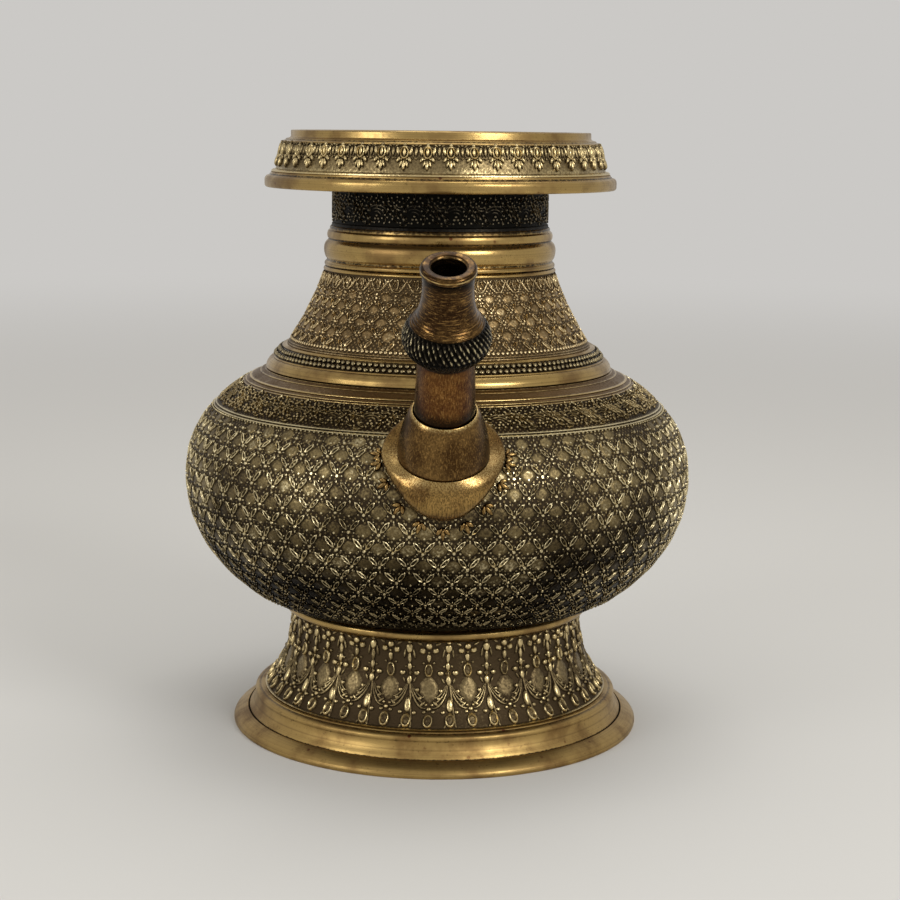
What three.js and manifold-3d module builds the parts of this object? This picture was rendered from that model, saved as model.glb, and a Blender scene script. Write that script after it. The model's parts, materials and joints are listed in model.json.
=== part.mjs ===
// A spouted water vase of cast, raised and turned brass, built as the separate sections that a
// metalworker solders together at their mouldings. Millimetres, +Z up. Each section is turned
// round the vase's own axis, and the spout's pieces round the spout's axis, which leans forward
// towards -Y. At the end the whole vase is moved so that the middle of its box is at the origin.

import * as THREE from 'three'
import { mergeVertices } from 'three/addons/utils/BufferGeometryUtils.js'
import { ConvexGeometry } from 'three/addons/geometries/ConvexGeometry.js'
import Module from 'manifold-3d'

const wasm = await Module()
wasm.setup()

// How finely round things are cut into flats
const bodySides = 36
const spoutSides = 24

// Joints between sections
const solderGap = 0.3
const spigotWall = 1.3
const spigotHeight = 4

// Foot: outer rim, turned flange, flaring skirt, bead under the belly
const footLand = 5.2
const footRimEdge = 1
const footRimHeight = 6
const footRimWall = 2.8
const flangeLapWidth = 3.4
const footFlangeHeight = 8.6
const footFlangeWall = 2.6
const skirtHeight = 32.8
const skirtWaistRadius = 59.6
const skirtFlare = 11.2
const skirtFlarePower = 2.45
const skirtWall = 1.9
const footFlangeStep = 0.8
const footFlangeTopRadius = skirtWaistRadius + skirtFlare + footFlangeStep
const footFlangeRun = 5.6
const seamRadius = footFlangeTopRadius + footFlangeRun
const footRimWidth = 6.1
const footRadius = seamRadius + footRimWidth
const footBeadHeight = 4.2
const footNeckHeight = 2.9
const footBeadProud = 2.9
const footBeadRadius = skirtWaistRadius + footBeadProud

// Belly: two shells that meet on the widest line
const bellyRadius = 102.2
const bellyLowerHeight = 48.5
const bellyLowerReach = 66.6
const bellyLowerPower = 2.12
const bellyUpperHeight = 43.3
const bellyUpperReach = 56.8
const bellyUpperPower = 2.26
const bellyWall = 1.8
const bellyBottomDip = 4.6

// Shoulder: beaded ring and flaring cone
const beadRingHeight = 9.2
const beadRingOverhang = 0.4
const beadRingTopRadius = 62.3
const beadRingWall = 4.2
const coneHeight = 29.8
const coneFootInset = 0.7
const coneFootRadius = beadRingTopRadius - coneFootInset
const coneWall = 2
const coneSeatHeight = 6

// Neck with its moulded collar
const neckRadius = 43.3
const neckWall = 1.6
const neckTopHeight = 33.7
const neckSpigotDepth = 5
const collarProud = 3.1
const collarTorusRadius = neckRadius + collarProud
const collarHeight = 17.3
const coneTopLip = 0.2
const coneTopRadius = collarTorusRadius + coneTopLip

// Rim: inner dish, hanging drum with its frieze, flange under it, lip on top
const friezeHeight = 11.6
const friezeTopRadius = 63.3
const friezeFlare = 3.2
const friezeFootRadius = friezeTopRadius + friezeFlare
const friezeWall = 2.2
const rimFlangeHeight = 5.9
const rimFlangeOverhang = 3.5
const rimFlangeRadius = friezeFootRadius + rimFlangeOverhang
const lipHeight = 4.8
const lipStepBack = 3.8
const lipRadius = friezeTopRadius - lipStepBack
const lipWall = 3.6
const dishHeight = 16.2
const dishWall = 2
const dishSpigotHeight = 8
const dishRimInset = 0.9
const dishRimRadius = lipRadius - dishRimInset

// Spout, measured along its own axis from where that axis meets the belly
const spoutTilt = THREE.MathUtils.degToRad(28.8)
const spoutSeatHeight = 23.4
const boreRadius = 8.4
const wallHoleRadius = 10
const cutterSpare = 30
const mouthRadius = 5.8
const socketHeight = 20
const socketFootRadius = 16.7
const socketTopRadius = 12.1
const tubeFootRadius = 10.9
const tubeTopRadius = 10
const tubeInsertDepth = 6
const knopStart = 43.7
const knopHeight = 12.9
const knopRadius = 15.8
const nozzleHeight = 20.4
const nozzleFootRadius = 13.3
const nozzleThroatRadius = 8.8
const spoutLipHeight = 3.6
const spoutLipRadius = 9.7

// Boss that carries the spout: rounded about a line square to the belly's wall
const bossTilt = THREE.MathUtils.degToRad(28.3)
const bossSeatHeight = 19.8
const bossRadius = 22.6
const bossRise = 3.6
const bossDepth = 10

// Heights that follow from the sizes above
const seamZ = footRimHeight
const skirtZ = seamZ + footFlangeHeight
const footBeadZ = skirtZ + skirtHeight
const bellyZ = footBeadZ + footBeadHeight + footNeckHeight
const equatorZ = bellyZ + bellyLowerHeight
const beadRingZ = equatorZ + bellyUpperHeight
const coneZ = beadRingZ + beadRingHeight
const collarZ = coneZ + coneHeight
const neckTopZ = collarZ + neckTopHeight
const lipZ = neckTopZ + dishHeight
const friezeZ = lipZ - friezeHeight
const rimFlangeZ = friezeZ - rimFlangeHeight

function brass(color, roughness) {
  return new THREE.MeshStandardMaterial({ color, roughness, metalness: 0.95 })
}

// One solid turned round the Z axis from a closed outline of [radius, height] points
function turned(outline, sides) {
  const points = outline.map(([radius, height]) => new THREE.Vector2(radius, height))
  const closed = outline[0][0] === 0 ? points : [...points, points[0].clone()]
  return new THREE.LatheGeometry(closed, sides).rotateX(Math.PI / 2)
}

// A closed mesh as a solid that can be cut and joined
function toSolid(geometry) {
  const bare = geometry.clone()
  bare.deleteAttribute('normal')
  bare.deleteAttribute('uv')
  const merged = mergeVertices(bare, 1e-3)
  const corners = []
  const index = merged.index.array
  for (let i = 0; i < index.length; i += 3) {
    const [a, b, c] = [index[i], index[i + 1], index[i + 2]]
    if (a !== b && b !== c && c !== a) corners.push(a, b, c)
  }
  const vertProperties = new Float32Array(merged.attributes.position.array)
  const triVerts = new Uint32Array(corners)
  return new wasm.Manifold(new wasm.Mesh({ numProp: 3, vertProperties, triVerts }))
}

function toGeometry(solid) {
  const mesh = solid.getMesh()
  const geometry = new THREE.BufferGeometry()
  geometry.setAttribute('position', new THREE.BufferAttribute(mesh.vertProperties, 3))
  geometry.setIndex(new THREE.BufferAttribute(mesh.triVerts, 1))
  geometry.computeVertexNormals()
  return geometry
}

function piece(name, geometry, color, roughness) {
  const mesh = new THREE.Mesh(toGeometry(toSolid(geometry)), brass(color, roughness))
  mesh.name = name
  return mesh
}

// Points of a curve given as a function of a share from 0 to 1
function along(count, at) {
  return Array.from({ length: count + 1 }, (_, i) => at(i / count))
}

// The belly's outer radius at a height above its widest line, with the wall taken off by inset
function bellyRadiusAt(rise, inset = 0) {
  const above = rise > 0
  const reach = (above ? bellyUpperReach : bellyLowerReach) - inset
  const power = above ? bellyUpperPower : bellyLowerPower
  return (bellyRadius - inset) * Math.sqrt(1 - (Math.abs(rise) / reach) ** power)
}

function footRimRing() {
  const inner = footRadius - footLand
  const lapTop = footRimHeight - footRimWall
  const lapInner = seamRadius - flangeLapWidth
  return turned([
    [inner, 0],
    [footRadius, 0],
    [footRadius, footRimEdge],
    [footRadius - 0.9, footRimEdge + 1.2],
    [(footRadius + seamRadius) / 2, footRimHeight * 0.72],
    [seamRadius, footRimHeight],
    [seamRadius, lapTop],
    [lapInner, lapTop],
    [lapInner, lapTop / 2],
    [inner, lapTop / 2],
  ], bodySides)
}

function footFlange() {
  const outer = seamRadius - solderGap
  const foot = footRimHeight - footRimWall
  const rise = footFlangeHeight
  const run = outer - footFlangeTopRadius
  const lapInner = seamRadius - flangeLapWidth
  return turned([
    [lapInner, foot],
    [outer, foot],
    [outer, seamZ + 0.3],
    [outer - run * 0.42, seamZ + rise * 0.36],
    [outer - run * 0.56, seamZ + rise * 0.68],
    [outer - run * 0.62, seamZ + rise * 0.86],
    [footFlangeTopRadius, skirtZ],
    [footFlangeTopRadius - footFlangeWall, skirtZ],
    [lapInner - 0.6, seamZ + 1],
  ], bodySides)
}

function skirtRadiusAt(share) {
  return skirtWaistRadius + skirtFlare * (1 - share) ** skirtFlarePower
}

function footSkirt() {
  const outer = along(7, (t) => [skirtRadiusAt(t), skirtZ + t * skirtHeight])
  const inner = along(4, (t) => [skirtRadiusAt(1 - t) - skirtWall, skirtZ + (1 - t) * skirtHeight])
  return turned([...outer, ...inner], bodySides)
}

function footBeadRing() {
  const inner = skirtWaistRadius - skirtWall
  const rim = skirtWaistRadius + 0.8
  return turned([
    [inner, footBeadZ],
    [rim, footBeadZ],
    [footBeadRadius - 0.5, footBeadZ + footBeadHeight * 0.2],
    [footBeadRadius, footBeadZ + footBeadHeight * 0.48],
    [footBeadRadius - 0.5, footBeadZ + footBeadHeight * 0.76],
    [rim, footBeadZ + footBeadHeight],
    [rim + 0.6, bellyZ],
    [inner, bellyZ],
  ], bodySides)
}

function bellyLower() {
  const inner = bellyRadius - bellyWall
  const spigotOuter = inner - solderGap
  const spigotInner = spigotOuter - spigotWall
  const dipRadius = skirtWaistRadius - skirtWall - 2
  const outerArc = along(9, (t) => {
    const rise = -bellyLowerHeight * Math.cos(t * Math.PI / 2)
    return [bellyRadiusAt(rise), equatorZ + rise]
  })
  const innerArc = along(5, (t) => {
    const share = Math.sin(t * Math.PI / 2)
    const rise = -2 * spigotHeight * (1 - share) - (bellyLowerHeight - bellyWall) * share
    return [bellyRadiusAt(rise, bellyWall), equatorZ + rise]
  })
  return turned([
    [0, bellyZ - bellyBottomDip],
    [dipRadius * 0.6, bellyZ - bellyBottomDip * 0.75],
    [dipRadius, bellyZ],
    ...outerArc,
    [spigotOuter, equatorZ],
    [spigotOuter, equatorZ + spigotHeight],
    [spigotInner, equatorZ + spigotHeight],
    [spigotInner, equatorZ - spigotHeight],
    ...innerArc,
    [dipRadius, bellyZ + bellyWall],
    [0, bellyZ + bellyWall - bellyBottomDip],
  ], bodySides)
}

function bellyUpperOuter(grow = 0) {
  return along(10, (t) => {
    const rise = bellyUpperHeight * Math.sin(t * Math.PI / 2) ** 0.85
    return [bellyRadiusAt(rise, -grow), equatorZ + rise]
  })
}

function bellyUpper() {
  const inner = bellyRadius - bellyWall
  const innerArc = along(6, (t) => {
    const share = Math.cos(t * Math.PI / 2) ** 0.85
    const rise = spigotHeight * (1 - share) + bellyUpperHeight * share
    return [t < 1 ? bellyRadiusAt(rise, bellyWall) : inner, equatorZ + rise]
  })
  return turned([...bellyUpperOuter(), ...innerArc, [inner, equatorZ]], bodySides)
}

function shoulderBeadRing() {
  const foot = bellyRadiusAt(bellyUpperHeight) + beadRingOverhang
  const top = beadRingTopRadius
  const rise = beadRingHeight
  return turned([
    [foot - beadRingWall, beadRingZ],
    [foot, beadRingZ],
    [foot - 0.2, beadRingZ + rise * 0.1],
    [foot - 1.7, beadRingZ + rise * 0.2],
    [foot - 2.4, beadRingZ + rise * 0.44],
    [top + 1.1, beadRingZ + rise * 0.9],
    [top, coneZ],
    [top - beadRingWall, coneZ],
  ], bodySides)
}

// Outer line of the shoulder cone, hollow like a bell
function coneRadiusAt(share) {
  const drop = 1 - share
  return coneTopRadius + (coneFootRadius - coneTopRadius) * (0.64 * drop + 0.36 * drop * drop)
}

function shoulderCone() {
  const seat = neckRadius + solderGap
  const seatShare = 1 - coneSeatHeight / coneHeight
  const outer = along(6, (t) => [coneRadiusAt(t), coneZ + t * coneHeight])
  const inner = along(3, (t) => {
    const share = seatShare * (1 - t)
    return [coneRadiusAt(share) - coneWall, coneZ + share * coneHeight]
  })
  return turned([
    ...outer,
    [seat, collarZ],
    [seat, coneZ + seatShare * coneHeight],
    ...inner,
  ], bodySides)
}

function neckTube() {
  const foot = collarZ - neckSpigotDepth
  return turned([
    [neckRadius - neckWall, foot],
    [neckRadius, foot],
    [neckRadius, neckTopZ],
    [neckRadius - neckWall, neckTopZ],
  ], bodySides)
}

function neckCollarRing() {
  const seat = neckRadius + solderGap
  const crest = collarTorusRadius
  const level = (share) => collarZ + collarHeight * share
  return turned([
    [seat, collarZ],
    [crest + 0.2, collarZ],
    [crest, level(0.06)],
    [crest - 0.8, level(0.08)],
    [crest - 0.2, level(0.12)],
    [crest - 0.3, level(0.18)],
    [crest - 1.1, level(0.23)],
    [crest - 0.7, level(0.3)],
    [crest, level(0.44)],
    [crest - 0.4, level(0.58)],
    [crest - 1.5, level(0.68)],
    [crest - 1.7, level(0.72)],
    [crest - 1.5, level(0.77)],
    [crest - 1.7, level(0.88)],
    [crest - 2.4, level(0.92)],
    [crest - 2.4, level(1)],
    [seat, level(1)],
  ], bodySides)
}

function rimDish() {
  const spigotOuter = neckRadius - neckWall - solderGap
  const spigotInner = spigotOuter - dishWall
  const run = dishRimRadius - neckRadius
  return turned([
    [spigotInner, neckTopZ - dishSpigotHeight],
    [spigotOuter, neckTopZ - dishSpigotHeight],
    [spigotOuter, neckTopZ],
    [neckRadius + 1.2, neckTopZ],
    [neckRadius + run * 0.72, neckTopZ + dishHeight * 0.45],
    [dishRimRadius, neckTopZ + dishHeight * 0.85],
    [dishRimRadius, lipZ],
    [dishRimRadius - dishWall, lipZ],
    [neckRadius + run * 0.6, neckTopZ + dishHeight * 0.55],
    [neckRadius, neckTopZ + dishHeight * 0.16],
    [spigotInner, neckTopZ],
  ], bodySides)
}

function rimLipRing() {
  const inner = lipRadius - lipWall
  const foot = friezeTopRadius - 0.6
  return turned([
    [inner, lipZ],
    [foot, lipZ],
    [foot - 0.3, lipZ + lipHeight * 0.15],
    [foot - 1.5, lipZ + lipHeight * 0.32],
    [lipRadius, lipZ + lipHeight * 0.42],
    [lipRadius, lipZ + lipHeight],
    [lipRadius - 2.1, lipZ + lipHeight],
    [inner, lipZ + lipHeight * 0.8],
  ], bodySides)
}

function rimFriezeBand() {
  const run = friezeFootRadius - friezeTopRadius
  return turned([
    [friezeFootRadius - friezeWall, friezeZ],
    [friezeFootRadius, friezeZ],
    [friezeFootRadius - run * 0.06, friezeZ + friezeHeight * 0.12],
    [friezeTopRadius + run * 0.5, friezeZ + friezeHeight * 0.5],
    [friezeTopRadius, lipZ],
    [friezeTopRadius - friezeWall, lipZ],
  ], bodySides)
}

function rimFlangeRing() {
  const seat = friezeFootRadius + 1
  const inner = friezeFootRadius - friezeWall
  return turned([
    [inner, rimFlangeZ + 2],
    [rimFlangeRadius - 3.2, rimFlangeZ],
    [rimFlangeRadius - 0.8, rimFlangeZ],
    [rimFlangeRadius, rimFlangeZ + rimFlangeHeight * 0.32],
    [rimFlangeRadius - 0.3, rimFlangeZ + rimFlangeHeight * 0.76],
    [seat + 0.5, rimFlangeZ + rimFlangeHeight * 0.84],
    [seat + 0.5, rimFlangeZ + rimFlangeHeight * 0.93],
    [seat, friezeZ],
    [inner, friezeZ],
  ], bodySides)
}

// The spout's group stands on the belly's wall and leans towards -Y
const spout = new THREE.Group()
const spoutSeatRadius = bellyRadiusAt(spoutSeatHeight)
spout.position.set(0, -spoutSeatRadius, equatorZ + spoutSeatHeight)
spout.rotation.x = spoutTilt
spout.updateMatrix()
const intoSpout = spout.matrix.clone().invert()

// A rod along the spout's axis that clears its bore right through the boss and the belly's wall
function boreRod(radius) {
  const rod = new THREE.CylinderGeometry(radius, radius, 2 * socketHeight + cutterSpare, spoutSides)
  return rod.rotateX(Math.PI / 2)
}

// The belly's outside as one solid, grown by the solder gap, for cutting what sits on it
function bellyCutter() {
  const outline = [[0, equatorZ - bellyLowerHeight]]
  outline.push(...along(9, (t) => {
    const rise = -bellyLowerHeight * Math.cos(t * Math.PI / 2)
    return [bellyRadiusAt(rise, -solderGap), equatorZ + rise]
  }))
  outline.push(...bellyUpperOuter(solderGap).slice(1), [0, beadRingZ])
  return toSolid(turned(outline, bodySides).applyMatrix4(intoSpout))
}

function socketOutline(gap) {
  const foot = socketFootRadius + gap
  const top = socketTopRadius + gap
  return [
    [foot, -gap],
    [foot - 0.2, socketHeight * 0.2],
    [top + (foot - top) * 0.74, socketHeight * 0.5],
    [top + (foot - top) * 0.35, socketHeight * 0.79],
    [top, socketHeight + gap],
  ]
}

function spoutSocket(cutter) {
  const pocket = tubeFootRadius + solderGap
  const shelf = socketHeight - tubeInsertDepth
  const cup = turned([
    ...socketOutline(0),
    [pocket, socketHeight],
    [pocket, shelf],
    [boreRadius, shelf],
    [boreRadius, 0],
  ], spoutSides)
  return toGeometry(toSolid(cup).subtract(cutter))
}

// A ring of points round a line in the plane of the spout, tilted up from level
function ringPoints(radial, height, tilt, radius) {
  return along(spoutSides - 1, (t) => {
    const turn = t * (spoutSides - 1) / spoutSides * Math.PI * 2
    const up = radius * Math.cos(turn)
    return new THREE.Vector3(
      radius * Math.sin(turn),
      -radial + up * Math.sin(tilt),
      height + up * Math.cos(tilt),
    )
  })
}

function spoutBoss(cutter) {
  const reach = (out, radius) => ringPoints(
    bellyRadiusAt(bossSeatHeight) + out * Math.cos(bossTilt),
    equatorZ + bossSeatHeight + out * Math.sin(bossTilt),
    bossTilt,
    radius,
  )
  const seat = Math.PI / 2 - spoutTilt
  const points = [
    ...reach(-bossDepth, bossRadius - 3.3),
    ...reach(-bossRise / 2, bossRadius),
    ...reach(bossRise, bossRadius - 1.1),
    ...ringPoints(spoutSeatRadius, equatorZ + spoutSeatHeight - solderGap, seat, socketFootRadius + 0.5),
  ]
  const dome = new ConvexGeometry(points).applyMatrix4(intoSpout)
  const pocketOutline = [[0, -solderGap], ...socketOutline(solderGap), [0, socketHeight + solderGap]]
  return toGeometry(toSolid(dome)
    .subtract(toSolid(turned(pocketOutline, spoutSides)))
    .subtract(cutter)
    .subtract(toSolid(boreRod(boreRadius))))
}

function spoutTube() {
  const foot = socketHeight - tubeInsertDepth + solderGap
  const top = knopStart - solderGap
  return turned([
    [boreRadius, foot],
    [tubeFootRadius, foot],
    [tubeFootRadius, socketHeight],
    [tubeTopRadius, top],
    [boreRadius - 0.6, top],
  ], spoutSides)
}

function spoutKnop() {
  const throat = boreRadius - 1.2
  const level = (share) => knopStart + knopHeight * share
  const swell = (share) => tubeTopRadius + (knopRadius - tubeTopRadius) * share
  return turned([
    [throat, knopStart],
    [swell(0.1), knopStart],
    [swell(0.57), level(0.16)],
    [swell(0.9), level(0.36)],
    [knopRadius, level(0.58)],
    [swell(0.86), level(0.8)],
    [swell(0.57), level(1)],
    [throat, level(1)],
  ], spoutSides)
}

function spoutNozzle() {
  const foot = knopStart + knopHeight + solderGap
  const throat = nozzleThroatRadius
  const level = (share) => foot + (nozzleHeight - 2 * solderGap) * share
  return turned([
    [boreRadius - 1.2, foot],
    [nozzleFootRadius, foot],
    [throat + (nozzleFootRadius - throat) * 0.5, level(0.17)],
    [throat + (nozzleFootRadius - throat) * 0.16, level(0.37)],
    [throat, level(0.6)],
    [throat, level(1)],
    [mouthRadius + 0.4, level(1)],
    [mouthRadius + 0.4, level(0.4)],
  ], spoutSides)
}

function spoutLipRing() {
  const foot = knopStart + knopHeight + nozzleHeight
  const level = (share) => foot + spoutLipHeight * share
  return turned([
    [mouthRadius, foot],
    [spoutLipRadius - 0.6, foot],
    [spoutLipRadius, level(0.22)],
    [spoutLipRadius, level(0.55)],
    [spoutLipRadius - 0.7, level(0.8)],
    [mouthRadius + 1.6, level(1)],
    [mouthRadius + 0.4, level(1)],
    [mouthRadius, level(0.85)],
  ], spoutSides)
}

const antique = 0x8f7848
const polished = 0xa88f62
const darkened = 0x5c5139
const reddish = 0x7d5a34

const body = new THREE.Group()
const bellyHole = toSolid(boreRod(wallHoleRadius).applyMatrix4(spout.matrix))
const openBelly = toGeometry(toSolid(bellyUpper()).subtract(bellyHole))
body.add(
  piece('foot_rim_ring', footRimRing(), polished, 0.34),
  piece('foot_flange', footFlange(), polished, 0.34),
  piece('foot_skirt', footSkirt(), antique, 0.5),
  piece('foot_bead_ring', footBeadRing(), polished, 0.34),
  piece('belly_lower', bellyLower(), antique, 0.5),
  piece('belly_upper', openBelly, antique, 0.5),
  piece('shoulder_bead_ring', shoulderBeadRing(), polished, 0.4),
  piece('shoulder_cone', shoulderCone(), antique, 0.5),
  piece('neck_tube', neckTube(), darkened, 0.55),
  piece('neck_collar_ring', neckCollarRing(), polished, 0.3),
  piece('rim_dish', rimDish(), antique, 0.45),
  piece('rim_flange_ring', rimFlangeRing(), polished, 0.32),
  piece('rim_frieze_band', rimFriezeBand(), antique, 0.48),
  piece('rim_lip_ring', rimLipRing(), polished, 0.34),
)

const cutter = bellyCutter()
spout.add(
  piece('spout_boss', spoutBoss(cutter), reddish, 0.42),
  piece('spout_socket', spoutSocket(cutter), reddish, 0.42),
  piece('spout_tube', spoutTube(), reddish, 0.42),
  piece('spout_knop', spoutKnop(), darkened, 0.5),
  piece('spout_nozzle', spoutNozzle(), reddish, 0.4),
  piece('spout_lip_ring', spoutLipRing(), polished, 0.36),
)
body.add(spout)

// The middle of the vase's box, at the level it stands on, is the origin
const vase = new THREE.Group()
vase.add(body)
vase.updateMatrixWorld(true)
const box = new THREE.Box3().setFromObject(body, true)
body.position.set(-(box.min.x + box.max.x) / 2, -(box.min.y + box.max.y) / 2, -box.min.z)

export default vase
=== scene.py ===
# %% [markdown]
# # A spouted water vase of patinated brass
# The real vase is a stack of turned and chased brass sections, soldered together at their mouldings.
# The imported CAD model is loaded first, as a frame. It says where each section sits, so every piece
# made below is measured from it and nothing has to be fitted by eye.

import json
import math

import bpy
import numpy as np
from mathutils import Matrix, Quaternion, Vector

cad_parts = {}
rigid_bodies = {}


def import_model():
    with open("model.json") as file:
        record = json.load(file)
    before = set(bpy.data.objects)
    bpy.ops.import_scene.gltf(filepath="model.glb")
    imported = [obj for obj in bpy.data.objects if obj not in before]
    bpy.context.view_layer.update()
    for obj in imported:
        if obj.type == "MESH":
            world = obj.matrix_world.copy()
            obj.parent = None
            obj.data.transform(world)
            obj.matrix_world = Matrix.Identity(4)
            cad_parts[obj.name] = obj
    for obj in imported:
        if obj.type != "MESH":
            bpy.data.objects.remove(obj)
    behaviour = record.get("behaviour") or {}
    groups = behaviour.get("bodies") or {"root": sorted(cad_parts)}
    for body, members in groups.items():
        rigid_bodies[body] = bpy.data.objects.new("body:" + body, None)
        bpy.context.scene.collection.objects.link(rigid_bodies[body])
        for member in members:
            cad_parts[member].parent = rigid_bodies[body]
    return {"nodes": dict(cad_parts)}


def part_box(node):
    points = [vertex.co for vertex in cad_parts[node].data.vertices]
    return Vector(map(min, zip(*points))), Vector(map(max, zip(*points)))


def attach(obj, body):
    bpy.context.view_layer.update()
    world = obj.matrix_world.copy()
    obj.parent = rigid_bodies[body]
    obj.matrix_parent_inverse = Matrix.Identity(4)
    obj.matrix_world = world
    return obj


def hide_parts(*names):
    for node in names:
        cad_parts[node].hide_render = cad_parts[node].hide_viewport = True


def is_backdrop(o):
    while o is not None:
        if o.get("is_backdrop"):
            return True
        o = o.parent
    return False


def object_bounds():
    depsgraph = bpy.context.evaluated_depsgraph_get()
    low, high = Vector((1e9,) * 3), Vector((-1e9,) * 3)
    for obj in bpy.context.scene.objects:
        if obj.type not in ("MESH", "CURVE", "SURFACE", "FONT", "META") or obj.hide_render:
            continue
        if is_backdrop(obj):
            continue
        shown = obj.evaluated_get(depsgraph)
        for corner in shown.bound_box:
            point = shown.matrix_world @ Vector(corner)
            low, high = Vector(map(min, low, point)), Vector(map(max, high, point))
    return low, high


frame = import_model()
cad_low, cad_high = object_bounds()
MM = 0.001


def box_mm(node):
    """Lowest and highest corner of a CAD node, in mm."""
    low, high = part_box(node)
    return low / MM, high / MM


foot_low, foot_high = box_mm("foot_rim_ring")
AXIS_Y = (foot_low.y + foot_high.y) / 2
print("nodes:", len(frame["nodes"]), "- the turning axis stands at y =", round(AXIS_Y, 2), "mm")

# %% [markdown]
# ## Heights and curves of the wall
# Each level is read from the box of a CAD node. The curves of the belly, the foot and the shoulder
# are the same smooth curves as in the CAD, which cuts them into flats. Here they are kept round.

# %% Levels and radii, in mm
SKIRT_Z = box_mm("foot_flange")[1].z
FOOT_BEAD_Z = box_mm("foot_skirt")[1].z
BELLY_Z = box_mm("foot_bead_ring")[1].z
BEAD_RING_Z = box_mm("belly_upper")[1].z
CONE_Z = box_mm("shoulder_bead_ring")[1].z
COLLAR_Z = box_mm("shoulder_cone")[1].z
NECK_TOP_Z = box_mm("neck_tube")[1].z
LIP_Z = box_mm("rim_dish")[1].z
FRIEZE_Z = box_mm("rim_frieze_band")[0].z
TOP_Z = box_mm("rim_lip_ring")[1].z
EQUATOR_Z = box_mm("belly_upper")[0].z
BELLY_R = box_mm("belly_upper")[1].x
NECK_R = 43.3
print("belly", round(BELLY_Z, 1), "to", round(BEAD_RING_Z, 1), "mm, radius", round(BELLY_R, 1))


def belly_radius(z):
    """Radius of the belly at a height: two rounded halves that meet on its widest line."""
    rise = np.asarray(z, float) - EQUATOR_Z
    above = np.sqrt(np.maximum(1 - (np.abs(rise) / 56.8) ** 2.26, 0))
    below = np.sqrt(np.maximum(1 - (np.abs(rise) / 66.6) ** 2.12, 0))
    return BELLY_R * np.where(rise > 0, above, below)


def skirt_radius(z):
    """Radius of the flaring foot, which opens quickly towards the bottom."""
    share = (np.asarray(z, float) - SKIRT_Z) / (FOOT_BEAD_Z - SKIRT_Z)
    return 59.6 + 11.2 * np.clip(1 - share, 0, 1) ** 2.45


def cone_radius(z):
    """Radius of the shoulder cone, hollow like a bell."""
    drop = 1 - (np.asarray(z, float) - CONE_Z) / (COLLAR_Z - CONE_Z)
    return 46.6 + 15 * (0.64 * drop + 0.36 * drop * drop)


def frieze_radius(z):
    """Radius of the rim drum, a little wider below than above."""
    return np.interp(z, [FRIEZE_Z, FRIEZE_Z + 1.4, FRIEZE_Z + 5.8, LIP_Z], [66.5, 66.3, 64.9, 63.3])


# %% [markdown]
# ## Turning
# A lathe hand cuts an outline while the work spins. The same can be done here: a ring of edges is
# added with as many points as the outline has, each point is moved to its place on the outline, and
# Spin carries it round the axis. Corners are eased first, because no turned brass has a dead edge.

# %% Turn a closed outline
def eased(corners, cuts=3):
    """A closed outline whose corners (radius, height, ease) are rounded by up to ease mm."""
    points = []
    for i, corner in enumerate(corners):
        here = np.array(corner[:2], float)
        ease = corner[2] if len(corner) > 2 else 0
        before = np.array(corners[i - 1][:2], float) - here
        after = np.array(corners[(i + 1) % len(corners)][:2], float) - here
        if not ease:
            points.append(tuple(here))
            continue
        start = here + before * min(ease / np.linalg.norm(before), 0.49)
        end = here + after * min(ease / np.linalg.norm(after), 0.49)
        for t in np.linspace(0, 1, cuts + 1):
            points.append(tuple((1 - t) ** 2 * start + 2 * t * (1 - t) * here + t * t * end))
    return points


print("a square with eased corners has", len(eased([(0, 0, 1), (9, 0, 1), (9, 9, 1), (0, 9, 1)])), "points")


def deselect():
    bpy.ops.object.select_all(action="DESELECT")


def choose(*chosen):
    """Selects these objects alone and makes the first one active."""
    deselect()
    for piece in chosen:
        piece.select_set(True)
    bpy.context.view_layer.objects.active = chosen[0]


def turn(name, outline, steps=160, axis_y=AXIS_Y):
    """Spins a closed outline of (radius, height) points round an upright axis."""
    deselect()
    bpy.ops.mesh.primitive_circle_add(vertices=len(outline), radius=MM, fill_type="NOTHING")
    piece = bpy.context.object
    piece.name = piece.data.name = "turned_" + name
    for vertex, (radius, height) in zip(piece.data.vertices, outline):
        vertex.co = (radius * MM, axis_y * MM, height * MM)
    bpy.ops.object.mode_set(mode="EDIT")
    bpy.ops.mesh.select_all(action="SELECT")
    bpy.ops.mesh.spin(steps=steps, angle=math.tau, center=(0, axis_y * MM, 0), axis=(0, 0, 1))
    bpy.ops.mesh.select_all(action="SELECT")
    bpy.ops.mesh.remove_doubles(threshold=1e-6)
    bpy.ops.mesh.dissolve_degenerate(threshold=1e-7)
    bpy.ops.mesh.normals_make_consistent(inside=False)
    bpy.ops.object.mode_set(mode="OBJECT")
    bpy.ops.object.transform_apply(location=True, rotation=True, scale=True)
    bpy.ops.object.shade_smooth_by_angle(angle=math.radians(35))
    print(name, "-", len(piece.data.polygons), "faces")
    return piece


def curve(radius_at, low, high, count, inset=0.0, ridges=()):
    """Outline points up a curved wall, with small turned ridges of (height, width, proud)."""
    heights = set(np.linspace(low, high, count).round(4))
    for z, width, _ in ridges:
        heights.update(round(z + width * f, 4) for f in (-1, -0.5, 0, 0.5, 1))
    points = []
    for z in sorted({min(max(h, low), high) for h in heights}):
        proud = sum(p * max(0, 1 - ((z - at) / w) ** 2) for at, w, p in ridges)
        points.append((float(radius_at(z)) - inset + proud, z))
    return points


# %% [markdown]
# ## The foot
# The foot is an outer ring, a turned flange inside it and a flaring skirt. The two rings were
# hammered together, and an uneven dark seam shows between them. The relief will stand on the skirt,
# so its bare wall is turned 1 mm thinner than the finished surface. All sizes are in mm.

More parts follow.
